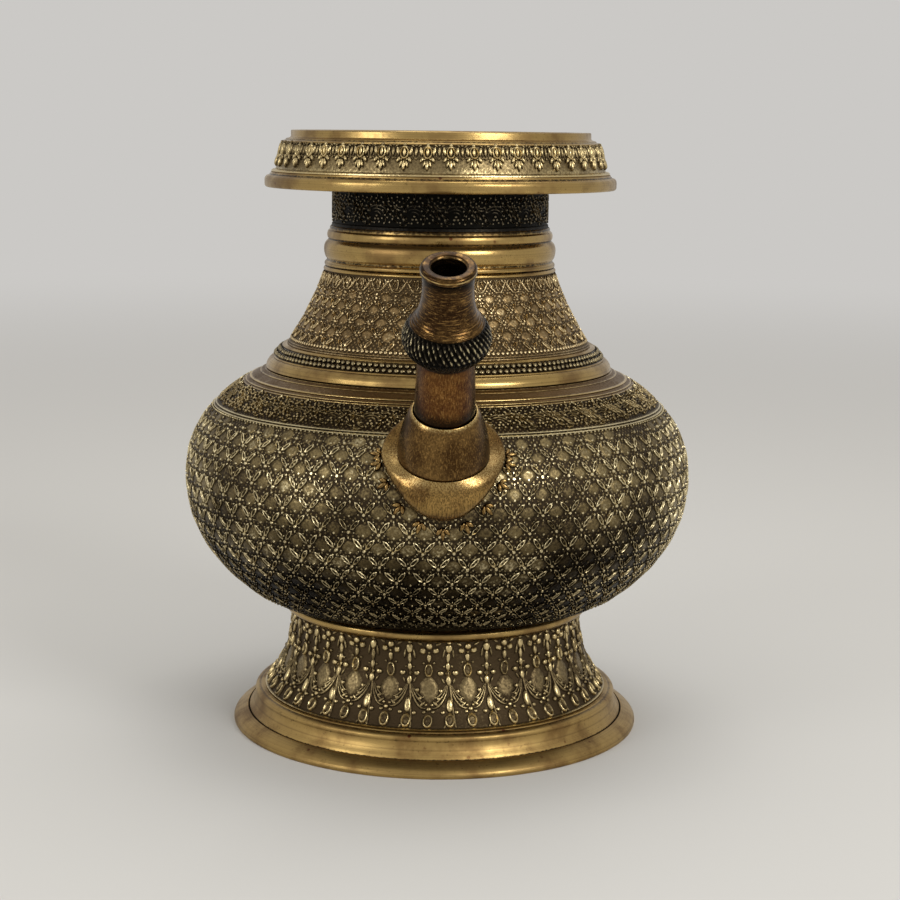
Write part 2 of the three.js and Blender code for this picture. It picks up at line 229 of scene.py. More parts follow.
# %% Foot ring, flange, skirt and bead
RELIEF = 0.7
FOOT_RELIEF = 1.0
pieces = {}
pieces["foot_rim_ring"] = turn("foot_rim_ring", eased([
    (78.1, 0, 0.3), (83.1, 0, 0.5), (83.3, 1.5, 0.9), (82.3, 2.9, 1.2), (80.2, 4.4, 1.5),
    (77.9, 5.6, 0.5), (77.35, 5.5, 0.2), (77.2, 5.0), (77.2, 3.2), (73.8, 3.2), (73.8, 1.6), (78.1, 1.6),
]), steps=200)
pieces["foot_flange"] = turn("foot_flange", eased([
    (73.8, 3.2), (76.9, 3.2), (76.9, 5.4, 0.1), (76.5, 6.3, 0.5), (75.3, 8.0, 1.2), (74.5, 10.0, 1.2),
    (74.25, 11.7, 0.5), (74.4, 12.2, 0.4), (74.2, 13.3, 0.5), (73.2, 14.05, 0.4), (71.9, 14.25, 0.1),
    (71.6, SKIRT_Z), (69.0, SKIRT_Z), (73.2, 7.0, 1.0),
]), steps=200)
skirt_outer = curve(skirt_radius, SKIRT_Z, FOOT_BEAD_Z, 34, inset=FOOT_RELIEF,
                    ridges=[(15.1, 0.4, 0.9), (46.8, 0.35, 0.8)])
skirt_inner = curve(skirt_radius, SKIRT_Z, FOOT_BEAD_Z, 8, inset=2.6)
pieces["foot_skirt"] = turn("foot_skirt", skirt_outer + skirt_inner[::-1])
pieces["foot_bead_ring"] = turn("foot_bead_ring", eased([
    (57.7, FOOT_BEAD_Z), (60.4, FOOT_BEAD_Z, 0.1), (60.6, 47.8, 0.2), (62.0, 48.1, 0.6),
    (62.5, 49.5, 1.0), (61.9, 50.9, 0.7), (60.5, 51.4, 0.3), (60.3, 52.6, 0.6), (61.0, BELLY_Z), (57.7, BELLY_Z),
]))

# %% [markdown]
# ## The belly
# The belly is raised in two bowls that lap inside each other on the widest line. The upper bowl
# also carries the plain turned zone with its fine lines, between the shoulder ring and the scroll
# band. Those lines are real ridges, cut into the outline before it is spun.

# %% Lower and upper belly
WALL = 1.8
lap = BELLY_R - WALL
lower_outer = curve(belly_radius, BELLY_Z, EQUATOR_Z, 26, inset=RELIEF)
lower_inner = [(float(belly_radius(z)) - WALL - 0.6, z) for z in np.linspace(EQUATOR_Z - 8, BELLY_Z + 2, 8)]
pieces["belly_lower"] = turn("belly_lower", [
    (0, BELLY_Z - 4.6), (20, BELLY_Z - 4.3), (34, BELLY_Z - 3.4), (46, BELLY_Z - 1.8), (55.7, BELLY_Z),
    *lower_outer, (lap - 0.3, EQUATOR_Z), (lap - 0.3, EQUATOR_Z + 4), (lap - 1.6, EQUATOR_Z + 4),
    (lap - 1.6, EQUATOR_Z - 4), *lower_inner, (55.7, BELLY_Z + WALL), (34, BELLY_Z - 1.6), (0, BELLY_Z - 2.8),
])
SHOULDER_LINES = [(131.6, 0.32, 0.7), (132.5, 0.32, 0.7), (140.85, 0.18, 0.45), (141.55, 0.18, 0.5),
                  (142.75, 0.28, 0.75), (144.85, 0.2, 0.4), (145.7, 0.15, 0.3)]
upper_outer = curve(belly_radius, EQUATOR_Z, BEAD_RING_Z, 30, inset=RELIEF, ridges=SHOULDER_LINES)
upper_inner = [(float(belly_radius(z)) - WALL - 0.6, z) for z in np.linspace(BEAD_RING_Z, EQUATOR_Z + 5, 9)]
pieces["belly_upper"] = turn("belly_upper", [*upper_outer, *upper_inner, (lap, EQUATOR_Z + 4), (lap, EQUATOR_Z)],
                             steps=200)

# %% [markdown]
# ## Shoulder ring, cone, neck and collar
# Above the belly come a bright rounded ring with a sunk channel for two rows of beads, the hollow
# cone, and the short neck. The collar round the neck is one stack of mouldings: a thin bead, a
# small bead, a wide rounded torus and a plain bead on top, with sharp grooves between them. Each
# line below is one such outline, point by point, with the ease of its corner last.

# %% Shoulder and neck
pieces["shoulder_bead_ring"] = turn("shoulder_bead_ring", eased([
    (65.4, BEAD_RING_Z), (69.6, BEAD_RING_Z, 0.1), (69.5, 147.0, 0.3), (69.3, 148.0, 0.9), (68.2, 149.6, 1.0),
    (67.2, 150.35, 0.2), (66.5, 150.3, 0.1), (66.2, 150.9, 0.2), (63.0, 154.4, 0.2), (63.1, 154.9, 0.1),
    (62.3, CONE_Z), (58.1, CONE_Z),
]), steps=200)
cone_outer = curve(cone_radius, CONE_Z, COLLAR_Z, 26, inset=RELIEF, ridges=[(155.9, 0.4, 0.4), (156.7, 0.3, 0.4)])
cone_inner = curve(cone_radius, CONE_Z, COLLAR_Z - 6, 7, inset=2.5)
pieces["shoulder_cone"] = turn("shoulder_cone", [*cone_outer, (NECK_R + 0.3, COLLAR_Z), (NECK_R + 0.3, COLLAR_Z - 6),
                                                 *cone_inner[::-1]])
pieces["neck_tube"] = turn("neck_tube", eased([
    (NECK_R - 1.6, COLLAR_Z - 5), (NECK_R, COLLAR_Z - 5), (NECK_R, 203.7, 0.2), (NECK_R - 0.5, 204.0, 0.2),
    (NECK_R - 0.5, 216.2, 0.2), (NECK_R, 216.5, 0.2), (NECK_R, NECK_TOP_Z), (NECK_R - 1.6, NECK_TOP_Z),
]))
pieces["neck_collar_ring"] = turn("neck_collar_ring", eased([
    (43.6, COLLAR_Z), (46.5, COLLAR_Z, 0.1), (46.6, 185.8, 0.3), (46.1, 186.5, 0.3), (45.5, 186.75, 0.1),
    (46.2, 187.2, 0.5), (46.1, 188.4, 0.5), (45.3, 188.9, 0.15), (45.2, 189.6, 0.15), (45.9, 190.5, 0.9),
    (46.5, 193.0, 1.9), (46.2, 195.6, 1.6), (45.0, 196.9, 0.3), (44.5, 197.5, 0.15), (45.0, 198.1, 0.4),
    (45.2, 199.3, 0.8), (44.8, 200.7, 0.5), (44.1, 201.1, 0.15), (44.0, 202.3, 0.2), (43.6, 202.6),
]))

# %% [markdown]
# ## The rim
# The rim is a drum that hangs from a plain lip and ends in an overhanging flange. Inside, a dish
# leads down to the neck. The photo doesn't show the dish, so it is a plain turned funnel.

# %% Dish, flange, drum and lip
pieces["rim_dish"] = turn("rim_dish", eased([
    (39.4, 211.0), (41.4, 211.0), (41.4, NECK_TOP_Z), (44.5, NECK_TOP_Z, 0.5), (54.3, 226.3, 3),
    (58.6, 232.8, 1.5), (58.6, LIP_Z), (56.6, LIP_Z), (52.5, 227.9, 5), (43.3, 221.6, 3.5),
    (39.4, NECK_TOP_Z, 2),
], cuts=6))
pieces["rim_flange_ring"] = turn("rim_flange_ring", eased([
    (64.3, 219.7, 0.3), (66.8, 217.9, 0.8), (69.4, 217.7, 0.4), (70.0, 218.5, 0.5), (70.0, 221.2, 0.6),
    (69.3, 222.2, 0.5), (68.1, 222.5, 0.15), (67.9, 223.0, 0.1), (67.6, 223.1, 0.1), (67.5, FRIEZE_Z),
    (64.3, FRIEZE_Z),
]), steps=200)
frieze_outer = curve(frieze_radius, FRIEZE_Z + 1.4, LIP_Z - 0.3, 12, inset=0.7)
pieces["rim_frieze_band"] = turn("rim_frieze_band", [
    (64.3, FRIEZE_Z), (67.0, FRIEZE_Z), (67.3, FRIEZE_Z + 0.3), (67.2, FRIEZE_Z + 0.8), (66.6, FRIEZE_Z + 1.15),
    (66.1, FRIEZE_Z + 1.2), *frieze_outer, (63.2, LIP_Z - 0.1), (63.2, LIP_Z), (61.1, LIP_Z),
], steps=200)
pieces["rim_lip_ring"] = turn("rim_lip_ring", eased([
    (55.9, LIP_Z), (62.9, LIP_Z, 0.1), (63.0, 235.7, 0.2), (62.3, 236.1, 0.3), (61.7, 236.2, 0.1),
    (61.5, 236.7, 0.3), (60.2, 237.0, 0.3), (59.6, 237.4, 0.2), (59.5, TOP_Z, 0.5), (57.4, TOP_Z, 0.5),
    (55.9, 239.0, 0.5),
]))
print("turned:", ", ".join(pieces))

# %% [markdown]
# ## The spout
# The spout's sections are turned like the rest, but about an axis that leans 28.8 degrees forward.
# Each is spun upright round the scene's Z axis and then tilted and carried to its seat on the belly,
# with the turn and the move applied, so that its object stays at the origin. The throat has small
# steps under its flare, and the lip is a flat roll round the open bore.

# %% Tube sections of the spout
SPOUT_TILT = math.radians(28.8)
SEAT_Z = EQUATOR_Z + 23.4
SEAT_Y = AXIS_Y - float(belly_radius(SEAT_Z))


def seat_spout(piece):
    """Tilts a piece that was turned upright and carries it to the spout's seat."""
    choose(piece)
    piece.rotation_euler = (SPOUT_TILT, 0, 0)
    piece.location = (0, SEAT_Y * MM, SEAT_Z * MM)
    bpy.ops.object.transform_apply(location=True, rotation=True, scale=True)
    return piece


def turn_spout(name, corners):
    """Turns a section of the spout and seats it."""
    pieces[name] = seat_spout(turn(name, eased(corners, cuts=4), steps=96, axis_y=0))


turn_spout("spout_socket", [
    (8.4, 0.2), (16.3, 0.2, 0.2), (16.65, 1.2, 0.5), (16.4, 5.0, 2.5), (15.4, 10.4, 3), (13.9, 15.2, 3),
    (13.1, 17.6, 0.2), (12.9, 18.1, 0.1), (11.7, 20.0, 0.25), (11.25, 19.9, 0.1), (11.2, 14.0), (8.4, 14.0),
])
turn_spout("spout_tube", [
    (8.4, 14.3), (10.9, 14.3), (10.9, 20.0, 0.3), (10.4, 33.0, 4), (10.0, 42.6, 0.4), (10.2, 43.4, 0.1),
    (7.8, 43.4),
])
turn_spout("spout_nozzle", [
    (7.0, 57.4), (13.0, 57.4, 0.1), (12.85, 57.8, 0.1), (12.35, 58.1, 0.1), (12.2, 58.6, 0.1), (11.75, 58.9, 0.1),
    (11.65, 59.4, 0.1), (11.15, 59.9, 0.1), (11.05, 60.4, 0.1), (10.6, 61.0, 0.1), (10.45, 61.5, 0.2),
    (9.65, 64.0, 1.5), (9.1, 67.0, 1.5), (8.85, 70.0, 2), (8.8, 76.7), (6.2, 76.7), (6.2, 64.8),
])
turn_spout("spout_lip_ring", [
    (5.8, 77.0), (9.0, 77.0, 0.2), (9.65, 77.5, 0.4), (9.7, 78.9, 0.4), (9.3, 79.7, 0.3), (8.6, 80.15, 0.4),
    (6.5, 80.0, 0.4), (5.85, 79.2, 0.3),
])

# %% [markdown]
# ## The fluted knop
# The knop is cast. Above a sunk line its flutes slant round it, and cuts in each flute that grow
# deeper and then stop short give it a twisted, saw-like edge. Below the line the flutes run almost
# straight down. The knop is spun with eight points to a flute, and then the points are pushed in
# along the radius. The cuts wander a little, as hand work does.

# %% Points and wear of a piece
def points_mm(piece):
    """All points of a piece, in mm, as rows of x, y, z."""
    co = np.empty(len(piece.data.vertices) * 3)
    piece.data.vertices.foreach_get("co", co)
    return co.reshape(-1, 3) / MM


def set_points_mm(piece, co):
    """Moves all points of a piece, with places in mm."""
    piece.data.vertices.foreach_set("co", (co * MM).ravel())
    piece.data.update()


def store(piece, name, values):
    """Stores one value for each point, as an attribute that the materials read."""
    layer = piece.data.attributes.get(name) or piece.data.attributes.new(name, "FLOAT", "POINT")
    layer.data.foreach_set("value", np.asarray(values, np.float32))


print("the spout reaches up to", round(float(points_mm(pieces["spout_lip_ring"])[:, 2].max()), 1), "mm")

# %% Knop
FLUTES = 46
POINTS_TO_A_FLUTE = 8
KNOP_LINE_Z = 49.4  # the sunk line, measured up the spout
HOLLOW_R = 10  # nothing nearer to the bore is fluted
FLUTE_DEEP, SAW_DEEP, LINE_DEEP = 0.85, 0.35, 0.4
knop_outline = eased([
    (7.0, 43.7), (10.6, 43.7, 0.2), (13.3, 45.6, 1.2), (15.2, 48.2, 1.8), (15.8, 51.0, 2.2),
    (15.3, 53.5, 1.6), (14.2, 55.9, 1.0), (13.2, 57.1, 0.2), (13.0, 57.3), (7.0, 57.3),
], cuts=6)
dense = []
for (radius, height), after in zip(knop_outline, knop_outline[1:] + knop_outline[:1]):
    fluted = radius > HOLLOW_R and after[0] > HOLLOW_R
    cuts = max(1, round(math.dist((radius, height), after) / 0.4)) if fluted else 1
    dense += [(radius + (after[0] - radius) * k / cuts, height + (after[1] - height) * k / cuts) for k in range(cuts)]
knop = turn("spout_knop", dense, steps=FLUTES * POINTS_TO_A_FLUTE, axis_y=0)
knop_co = points_mm(knop)
radius = np.hypot(knop_co[:, 0], knop_co[:, 1])
angle = np.arctan2(knop_co[:, 0], -knop_co[:, 1])
height = knop_co[:, 2]
above_line = height - KNOP_LINE_Z
slant = above_line * np.where(above_line > 0, 0.036, 0.008)
ridge = np.abs(np.cos((angle + slant) * FLUTES / 2)) ** 0.8
uneven = 0.3 * np.sin(angle * 17) + 0.25 * np.sin(angle * 5 + height)
saw = (((angle - above_line * 0.03) * FLUTES / math.tau + uneven) % 1) ** 0.8
saw = np.where(above_line > 0, saw, 0.6)
band = np.clip((height - 44.2) / 0.8, 0, 1) * np.clip((57.2 - height) / 0.7, 0, 1) * (radius > HOLLOW_R)
notch = np.exp(-((above_line + 0.2) / 0.35) ** 2)
cut = band * (FLUTE_DEEP * (1 - ridge) + SAW_DEEP * (1 - saw) + LINE_DEEP * notch)
knop_co[:, :2] *= ((radius - cut) / np.maximum(radius, 1e-6))[:, None]
set_points_mm(knop, knop_co)
# The crest value that colours the knop is partly its rubbed flute crests and partly painted highlight streaks on them.
# It falls off towards the bottom of the knop as painted shade, and is lower again near its top.
crest = np.where(band > 0, ridge ** 4 * (0.2 + 1.0 * saw) - 0.6 * notch, 0.3)
crest *= np.interp(height, [46, 49, 50, 55, 57], [0.25, 0.4, 1, 1, 0.5])
store(knop, "relief", np.clip(crest, 0, 1))
pieces["spout_knop"] = seat_spout(knop)
print("flutes:", FLUTES, "- deepest cut", round(float(cut.max()), 2), "mm")

# %% [markdown]
# ## The boss
# The boss is a smooth swelling that carries the cup of the spout. Its edge on the belly is round
# above and drawn to a blunt point below, like a drop. A plain ring is spun first, and then each of
# its points is moved between the edge and the foot of the cup, along a rounded section.

# %% The boss's edge on the wall, and places on the wall and the cup
BOSS_RINGS = 14
BOSS_Z = EQUATOR_Z + 22
BOSS_HALF, BOSS_BELOW, BOSS_ABOVE = 21.3, 23.0, 19.0  # how far its edge reaches along the wall
heights = np.linspace(BELLY_Z, BEAD_RING_Z, 600)
wall_r = belly_radius(heights)
wall_arc = np.concatenate([[0], np.cumsum(np.hypot(np.diff(heights), np.diff(wall_r)))])
boss_arc = np.interp(BOSS_Z, heights, wall_arc)


def keep_in_wall(co):
    """Lifts what would hang inside the belly up into the thickness of its wall."""
    out = co.copy()
    radius = np.hypot(co[:, 0], co[:, 1] - AXIS_Y)
    least = belly_radius(co[:, 2]) - 1.3
    grow = np.where(co[:, 2] < BEAD_RING_Z, np.maximum(least / radius, 1), 1)
    out[:, 0] = co[:, 0] * grow
    out[:, 1] = AXIS_Y + (co[:, 1] - AXIS_Y) * grow
    return out


blank = [(30 - k, k) for k in range(BOSS_RINGS + 1)] + [(10, BOSS_RINGS + 1), (10, -1)]
boss = turn("spout_boss", blank, steps=120, axis_y=0)
co = points_mm(boss)
turn_angle = np.arctan2(co[:, 0], -co[:, 1])
ring = co[:, 2]
side = BOSS_HALF * np.sin(turn_angle)
below = np.abs(np.cos(turn_angle)) ** 1.75 * -BOSS_BELOW
above = np.abs(np.cos(turn_angle)) * BOSS_ABOVE
up = np.where(np.cos(turn_angle) > 0, below, above)
edge_z = np.interp(boss_arc + up, wall_arc, heights)
slope = belly_radius(edge_z + 0.5) - belly_radius(edge_z - 0.5)
normal = np.stack([np.ones_like(slope), -slope], 1) / np.hypot(1, slope)[:, None]


def on_wall(z, sideways, proud):
    """A point over the belly's wall at a height and a distance round it, standing proud of it."""
    radius = belly_radius(z)
    around = sideways / radius
    out = radius + normal[:, 0] * proud
    return np.stack([out * np.sin(around), AXIS_Y - out * np.cos(around), z + normal[:, 1] * proud], 1)


tilt = np.array(Matrix.Rotation(SPOUT_TILT, 3, "X"))


def on_cup(radius, lift):
    """A point round the cup, at a radius from the spout's axis and a height up it."""
    flat = np.stack([radius * np.sin(turn_angle), -radius * np.cos(turn_angle), np.full(len(co), lift)], 1)
    return flat @ tilt.T + np.array([0, SEAT_Y, SEAT_Z])


def swollen(front, side_on, back):
    """A value that goes from the front of the boss to its sides and round to its back."""
    facing = np.cos(turn_angle)
    return side_on + np.where(facing > 0, (front - side_on) * facing ** 2, (back - side_on) * facing ** 2)


print("boss edge from z", round(float(edge_z.min()), 1), "to", round(float(edge_z.max()), 1), "mm")

# %% Bend the ring between the wall and the cup
# The boss laps higher up the cup at the back. Each of its lines is a Bezier curve of four points: one
# on the wall, one swelling out from it, one swelling out from the cup, and one on the cup.
lift = 0.5 + 12.5 * np.clip((0.35 - np.cos(turn_angle)) / 1.35, 0, 1) ** 1.8
cup_radius = np.interp(lift, [0.5, 1.2, 5, 10.4, 15.2], [16.9, 16.5, 16.2, 15.2, 13.5])
away = on_cup(1.0, 0.0) - on_cup(0.0, 0.0)
down = -(tilt @ np.array([0, 0, 1]))
inner = on_cup(cup_radius, lift)
edge = on_wall(edge_z, side, -0.7)
outwards = on_wall(edge_z, side * 1.03, 0.3) - edge
corner = [edge, edge + outwards * swollen(11.5, 4.4, 2.0)[:, None],
          inner + away * swollen(2.6, 3.2, 1.6)[:, None] + down * swollen(3.4, 0.7, 0.3)[:, None], inner]
t = np.clip(ring / BOSS_RINGS, 0, 1)[:, None]
shaped = ((1 - t) ** 3 * corner[0] + 3 * t * (1 - t) ** 2 * corner[1]
          + 3 * t * t * (1 - t) * corner[2] + t ** 3 * corner[3])
shaped = np.where((ring > BOSS_RINGS + 0.5)[:, None], on_cup(9.0, 0.0), shaped)
shaped = np.where((ring < -0.5)[:, None], on_cup(9.0, -8.0), shaped)
set_points_mm(boss, keep_in_wall(shaped))
choose(boss)
bpy.ops.object.mode_set(mode="EDIT")
bpy.ops.mesh.select_all(action="SELECT")
bpy.ops.mesh.normals_make_consistent(inside=False)
bpy.ops.object.mode_set(mode="OBJECT")
bpy.ops.object.shade_smooth_by_angle(angle=math.radians(50))
pieces["spout_boss"] = boss
set_points_mm(pieces["spout_socket"], keep_in_wall(points_mm(pieces["spout_socket"])))
print("the boss stands", round(AXIS_Y - float(shaped[:, 1].min()) - BELLY_R, 1), "mm out from the widest line")

# %% [markdown]
# ## Where dirt stays, where hands rub, and where light and shade are painted
# A few attributes tell the materials about wear, and some of them also carry painted light and shade.
# On chased pieces, relief is 0 in the ground and 1 on a crest or a turned line; on the knop it is also
# lower towards the bottom of the knop as painted shade. On plain pieces, one attribute is 1 in the
# grooves, where the dark dirt stays, and at the foot of the spout's cup it paints a shadow. Another is
# 1 on the edges that hands and cloths keep bright, and on the spout it also paints highlights: round
# the top of the cup, along the lip's edge, inside the bore and round the foot of the cup. Turned marks
# the plain zone of the upper belly, which has the gold of turned metal in the middle of a chased sheet.

# %% Paint the dirt, the rubbed edges, and painted light and shade
def paint(name, attribute, value_at, on_spout=False):
    """Sets an attribute from each point's radius and height, on the vase's or the spout's axis."""
    co = points_mm(pieces[name])
    if on_spout:
        co = (co - np.array([0, SEAT_Y, SEAT_Z])) @ tilt + np.array([0, AXIS_Y, 0])
    radius = np.hypot(co[:, 0], co[:, 1] - AXIS_Y)
    store(pieces[name], attribute, np.clip(value_at(radius, co[:, 2]), 0, 1))


def grooves(*places):
    """A value that is strongest at each height and fades over a width."""
    return lambda radius, z: np.max([most * np.exp(-((z - at) / width) ** 2) for at, width, most in places], axis=0)


paint("foot_rim_ring", "dirt_and_shade", lambda radius, z: (radius < 77.4) * (z > 3) * 1.0)
paint("shoulder_bead_ring", "dirt_and_shade", lambda radius, z: (z > 150.8) * (z < 154.7) * (radius > 62.5) * 1.0)
for name, places in {
    "foot_flange": [(5.2, 0.5, 1.0), (11.8, 0.3, 0.35), (14.2, 0.25, 0.4)],
    "foot_bead_ring": [(47.6, 0.4, 0.7), (51.8, 0.6, 0.8)],
    "neck_collar_ring": [(186.75, 0.3, 0.9), (189.25, 0.5, 0.8), (197.45, 0.35, 0.9), (201.9, 0.7, 1.0)],
    "rim_flange_ring": [(222.75, 0.3, 0.9)],
    "rim_lip_ring": [(236.3, 0.25, 0.7)],
}.items():
    paint(name, "dirt_and_shade", grooves(*places))
for name, attribute, value_at in (
    # The dark ring at the foot of the spout's cup is a painted shadow, where the cup sits on the boss.
    ("spout_socket", "dirt_and_shade", grooves((0.2, 0.7, 1.0))),
    ("spout_tube", "dirt_and_shade", grooves((20.0, 1.2, 1.0), (43.4, 1.4, 0.9))),
    ("spout_nozzle", "dirt_and_shade", grooves((57.4, 0.8, 0.7), (76.7, 0.5, 0.9))),
    ("spout_lip_ring", "dirt_and_shade", lambda radius, z: (z > 79.3) * (radius > 6.2) * 0.4 + (z < 77.8) * (radius > 7) * 0.9),
    # The gold ring round the foot of the cup, on the boss, is a painted highlight.
    ("spout_boss", "rubbed_and_sheen", grooves((0.0, 3.0, 0.55))),
    # The gold ring round the top of the cup is a painted highlight on its bevel.
    ("spout_socket", "rubbed_and_sheen", lambda radius, z: (z > 19.0) * 0.85),
    # The gold inside the bore of the throat is painted light on its inner wall.
    ("spout_nozzle", "rubbed_and_sheen", lambda radius, z: (radius < 6.4) * 1.0),
    # The gold line along the lip's outer edge is a painted highlight, and inside the lip a little painted light goes on
    # from the bore.
    ("spout_lip_ring", "rubbed_and_sheen",
     lambda radius, z: grooves((78.8, 0.3, 0.9))(radius, z) * (radius > 8) + (radius < 6.3) * 0.35),
):
    paint(name, attribute, value_at, on_spout=True)
print("pieces with soil:", sum("dirt_and_shade" in piece.data.attributes for piece in pieces.values()))


# %% Paint the relief of the bare chased walls
def proud_of(radius_at, deep):
    """How far a point stands out of the sunk ground: 0 on the ground, 1 level with the crests."""
    return lambda radius, z: (radius - radius_at(z) + deep) / deep


def upper_belly_relief(radius, z):
    """The turned zone starts above 140.3 mm. Its lines are only part gold, so their relief counts less."""
    zone = np.interp(z, [140.3, 140.6, 141.9, 142.2, 142.5], [0, 0.5, 0.5, 0.1, 0.5])
    return zone + (1 - 0.3 * (z > 140.4)) * proud_of(belly_radius, RELIEF)(radius, z)


paint("foot_skirt", "relief", proud_of(skirt_radius, FOOT_RELIEF))
paint("shoulder_cone", "relief", proud_of(cone_radius, RELIEF))
paint("belly_upper", "relief", upper_belly_relief)
paint("belly_upper", "turned", lambda radius, z: (z > 140.5) * 1.0)
paint("rim_frieze_band", "relief", lambda radius, z: np.interp(z, [224, 225, 227, 233], [1.0, 0.62, 0.5, 0.15]))
paint("neck_tube", "relief", lambda radius, z: (radius > NECK_R - 0.2) * 0.35)
print("pieces with relief:", sum("relief" in piece.data.attributes for piece in pieces.values()))

# %% [markdown]
# ## Stamps for the chased relief
# A chaser works with a few punches, each struck again and again. Here each punch is one small
# closed shape: a flat n-gon with the punch's rim, raised in a few layers by Extrude and Resize.
# Vines and stems are NURBS paths with a bevel, turned to mesh. All are laid out flat, in mm.

# %% Model the stamps
def stamp(name, rim, layers):
    """A closed relief shape: a flat rim raised in layers of (height, size)."""
    deselect()
    bpy.ops.mesh.primitive_circle_add(vertices=len(rim), radius=1, fill_type="NGON")
    shape = bpy.context.object
    shape.name = name
    for vertex, (x, y) in zip(shape.data.vertices, rim):
        vertex.co = (x, y, layers[0][0])
    bpy.ops.object.mode_set(mode="EDIT")
    bpy.ops.mesh.select_all(action="SELECT")
    for (low, before), (high, after) in zip(layers, layers[1:]):
        bpy.ops.mesh.extrude_region_move(TRANSFORM_OT_translate={"value": (0, 0, high - low)})
        bpy.ops.transform.resize(value=(after / before, after / before, 1), center_override=(0, 0, high))
    bpy.ops.mesh.select_all(action="SELECT")
    bpy.ops.mesh.normals_make_consistent(inside=False)
    bpy.ops.object.mode_set(mode="OBJECT")
    bpy.ops.object.shade_smooth_by_angle(angle=math.radians(60))
    print(name, "-", len(shape.data.polygons), "faces")
    return shape


def rim_of(count, shape):
    """Rim points of a unit shape, from a function that gives its half width at a share up."""
    points = []
    for k in range(count):
        a = math.tau * k / count
        y = -0.5 * math.cos(a)
        points.append((math.copysign(shape(y + 0.5), math.sin(a)) if 0 < k != count / 2 else 0.0, y))
    return points


def leaf_width(up):
    """Half width of a leaf: pointed at both ends."""
    return 0.5 * (1 - (2 * up - 1) ** 2) ** 0.9


def drop_width(up):
    """Half width of a drop: round below, with a drawn-out tip."""
    return 0.5 * math.sqrt(max(up, 0)) * (1 - up) ** 0.7 * 1.92


def dome_width(up):
    """Half width of a dome, between an oval and a lozenge."""
    return 0.5 * (1 - abs(2 * up - 1) ** 1.5) ** 0.75


def oval_width(up):
    """Half width of a circle, which the size of a blow draws out to an oval."""
    return 0.5 * math.sqrt(max(1 - (2 * up - 1) ** 2, 0))


# Layers of (height, size), from below the ground up to the crest
RAISED_RIM = [(-0.5, 1), (0.8, 1), (1.0, 0.8), (0.25, 0.52)]
ROUNDED = [(-0.5, 1), (0.35, 1), (0.85, 0.74), (1.0, 0.36)]
ROUND_SMALL = [(-0.4, 1), (0.5, 0.94), (1.0, 0.45)]
PILLOW = [(-0.5, 1), (0.7, 0.88), (1.0, 0.5)]
stamps = {
    "seed": stamp("seed", rim_of(6, oval_width), [(-0.4, 1), (1.0, 0.5)]),
    "blade": stamp("blade", rim_of(6, leaf_width), [(-0.5, 1), (0.8, 1), (1.0, 0.78), (0.1, 0.42)]),
    "pearl": stamp("pearl", rim_of(6, oval_width), ROUND_SMALL),
    "bead": stamp("bead", rim_of(10, oval_width), ROUNDED),
    "ring": stamp("ring", rim_of(8, oval_width), RAISED_RIM),
    "leaf": stamp("leaf", rim_of(8, leaf_width), RAISED_RIM),
    "petal": stamp("petal", rim_of(8, leaf_width), ROUNDED),
    "drop": stamp("drop", rim_of(12, drop_width), ROUNDED),
    "oval": stamp("oval", rim_of(12, oval_width), RAISED_RIM),
    "dome": stamp("dome", rim_of(10, dome_width), PILLOW),
}


# %% Strike, mirror and repeat
def struck(kind, x, y, wide, tall, deep, turned=0.0):
    """One blow of a stamp: a copy of its own, in mm, turned by degrees."""
    blow = stamps[kind].copy()
    blow.data = stamps[kind].data.copy()
    place = Matrix.Translation((x, y, 0)) @ Matrix.Rotation(math.radians(turned), 4, "Z")
    blow.data.transform(place @ Matrix.Diagonal((wide, tall, deep, 1)))
    bpy.context.scene.collection.objects.link(blow)
    return blow


def strand(points, widths, deep):
    """A vine or stem through five points, tapered by its widths, with a sharp crest."""
    deselect()
    bpy.ops.curve.primitive_nurbs_path_add()
    path = bpy.context.object
    for point, (x, y), wide in zip(path.data.splines[0].points, points, widths):
        point.co = (x, y, 0, 1)
        point.radius = wide
    path.data.bevel_depth = 0.5
    path.data.bevel_resolution = 0
    path.data.resolution_u = 3
    path.data.use_fill_caps = True
    bpy.ops.object.convert(target="MESH")
    made = bpy.context.object
    made.data.transform(Matrix.Diagonal((1, 1, 2 * deep / max(widths), 1)))
    return made


def mirrored(*blows):
    """The same blows on both sides of the middle line."""
    return [struck(kind, side * x, y, wide, tall, deep, side * turned)
            for kind, x, y, wide, tall, deep, turned in blows for side in (1, -1)]


def repeat(motif, name, across, columns, rows=1, row_step=(0, 0)):
    """Joins the motif's blows and repeats them with Array, across and then in rows."""
    choose(*motif)
    bpy.ops.object.join()
    strip = bpy.context.object
    strip.name = name
    for count, offset in ((columns, (across, 0, 0)), (rows, (*row_step, 0))):
        if count > 1:
            array = strip.modifiers.new("Repeat", "ARRAY")
            array.count = count
            array.use_relative_offset = False
            array.use_constant_offset = True
            array.constant_offset_displace = offset
            bpy.ops.object.modifier_apply(modifier=array.name)
    print(name, "-", columns * rows, "repeats,", len(strip.data.polygons), "faces")
    return strip


# %% [markdown]
# ## From a flat strip to a round wall
# A chaser strikes straight on to the curved wall. Here one repeat is laid out flat, copied along a
# strip with Array, and the strip is rolled up, because flat work is easy to draw and to repeat. The
# blows shrink with the radius, alike in both directions, so that a net stays a net up a rounded
# belly. Blows that would cross an edge are taken away whole, and then the strip joins its piece.

# %% Roll up
def climb_of(radius_at, low, high, start):
    """Heights on a turned wall, and how far up it each lies, as a share of the radius there."""
    z = np.linspace(low, high, 500)
    r = radius_at(z)
    climb = np.concatenate([[0], np.cumsum(np.hypot(np.diff(z), np.diff(r)) / ((r[1:] + r[:-1]) / 2))])
    return z, r, climb - np.interp(start, z, climb)


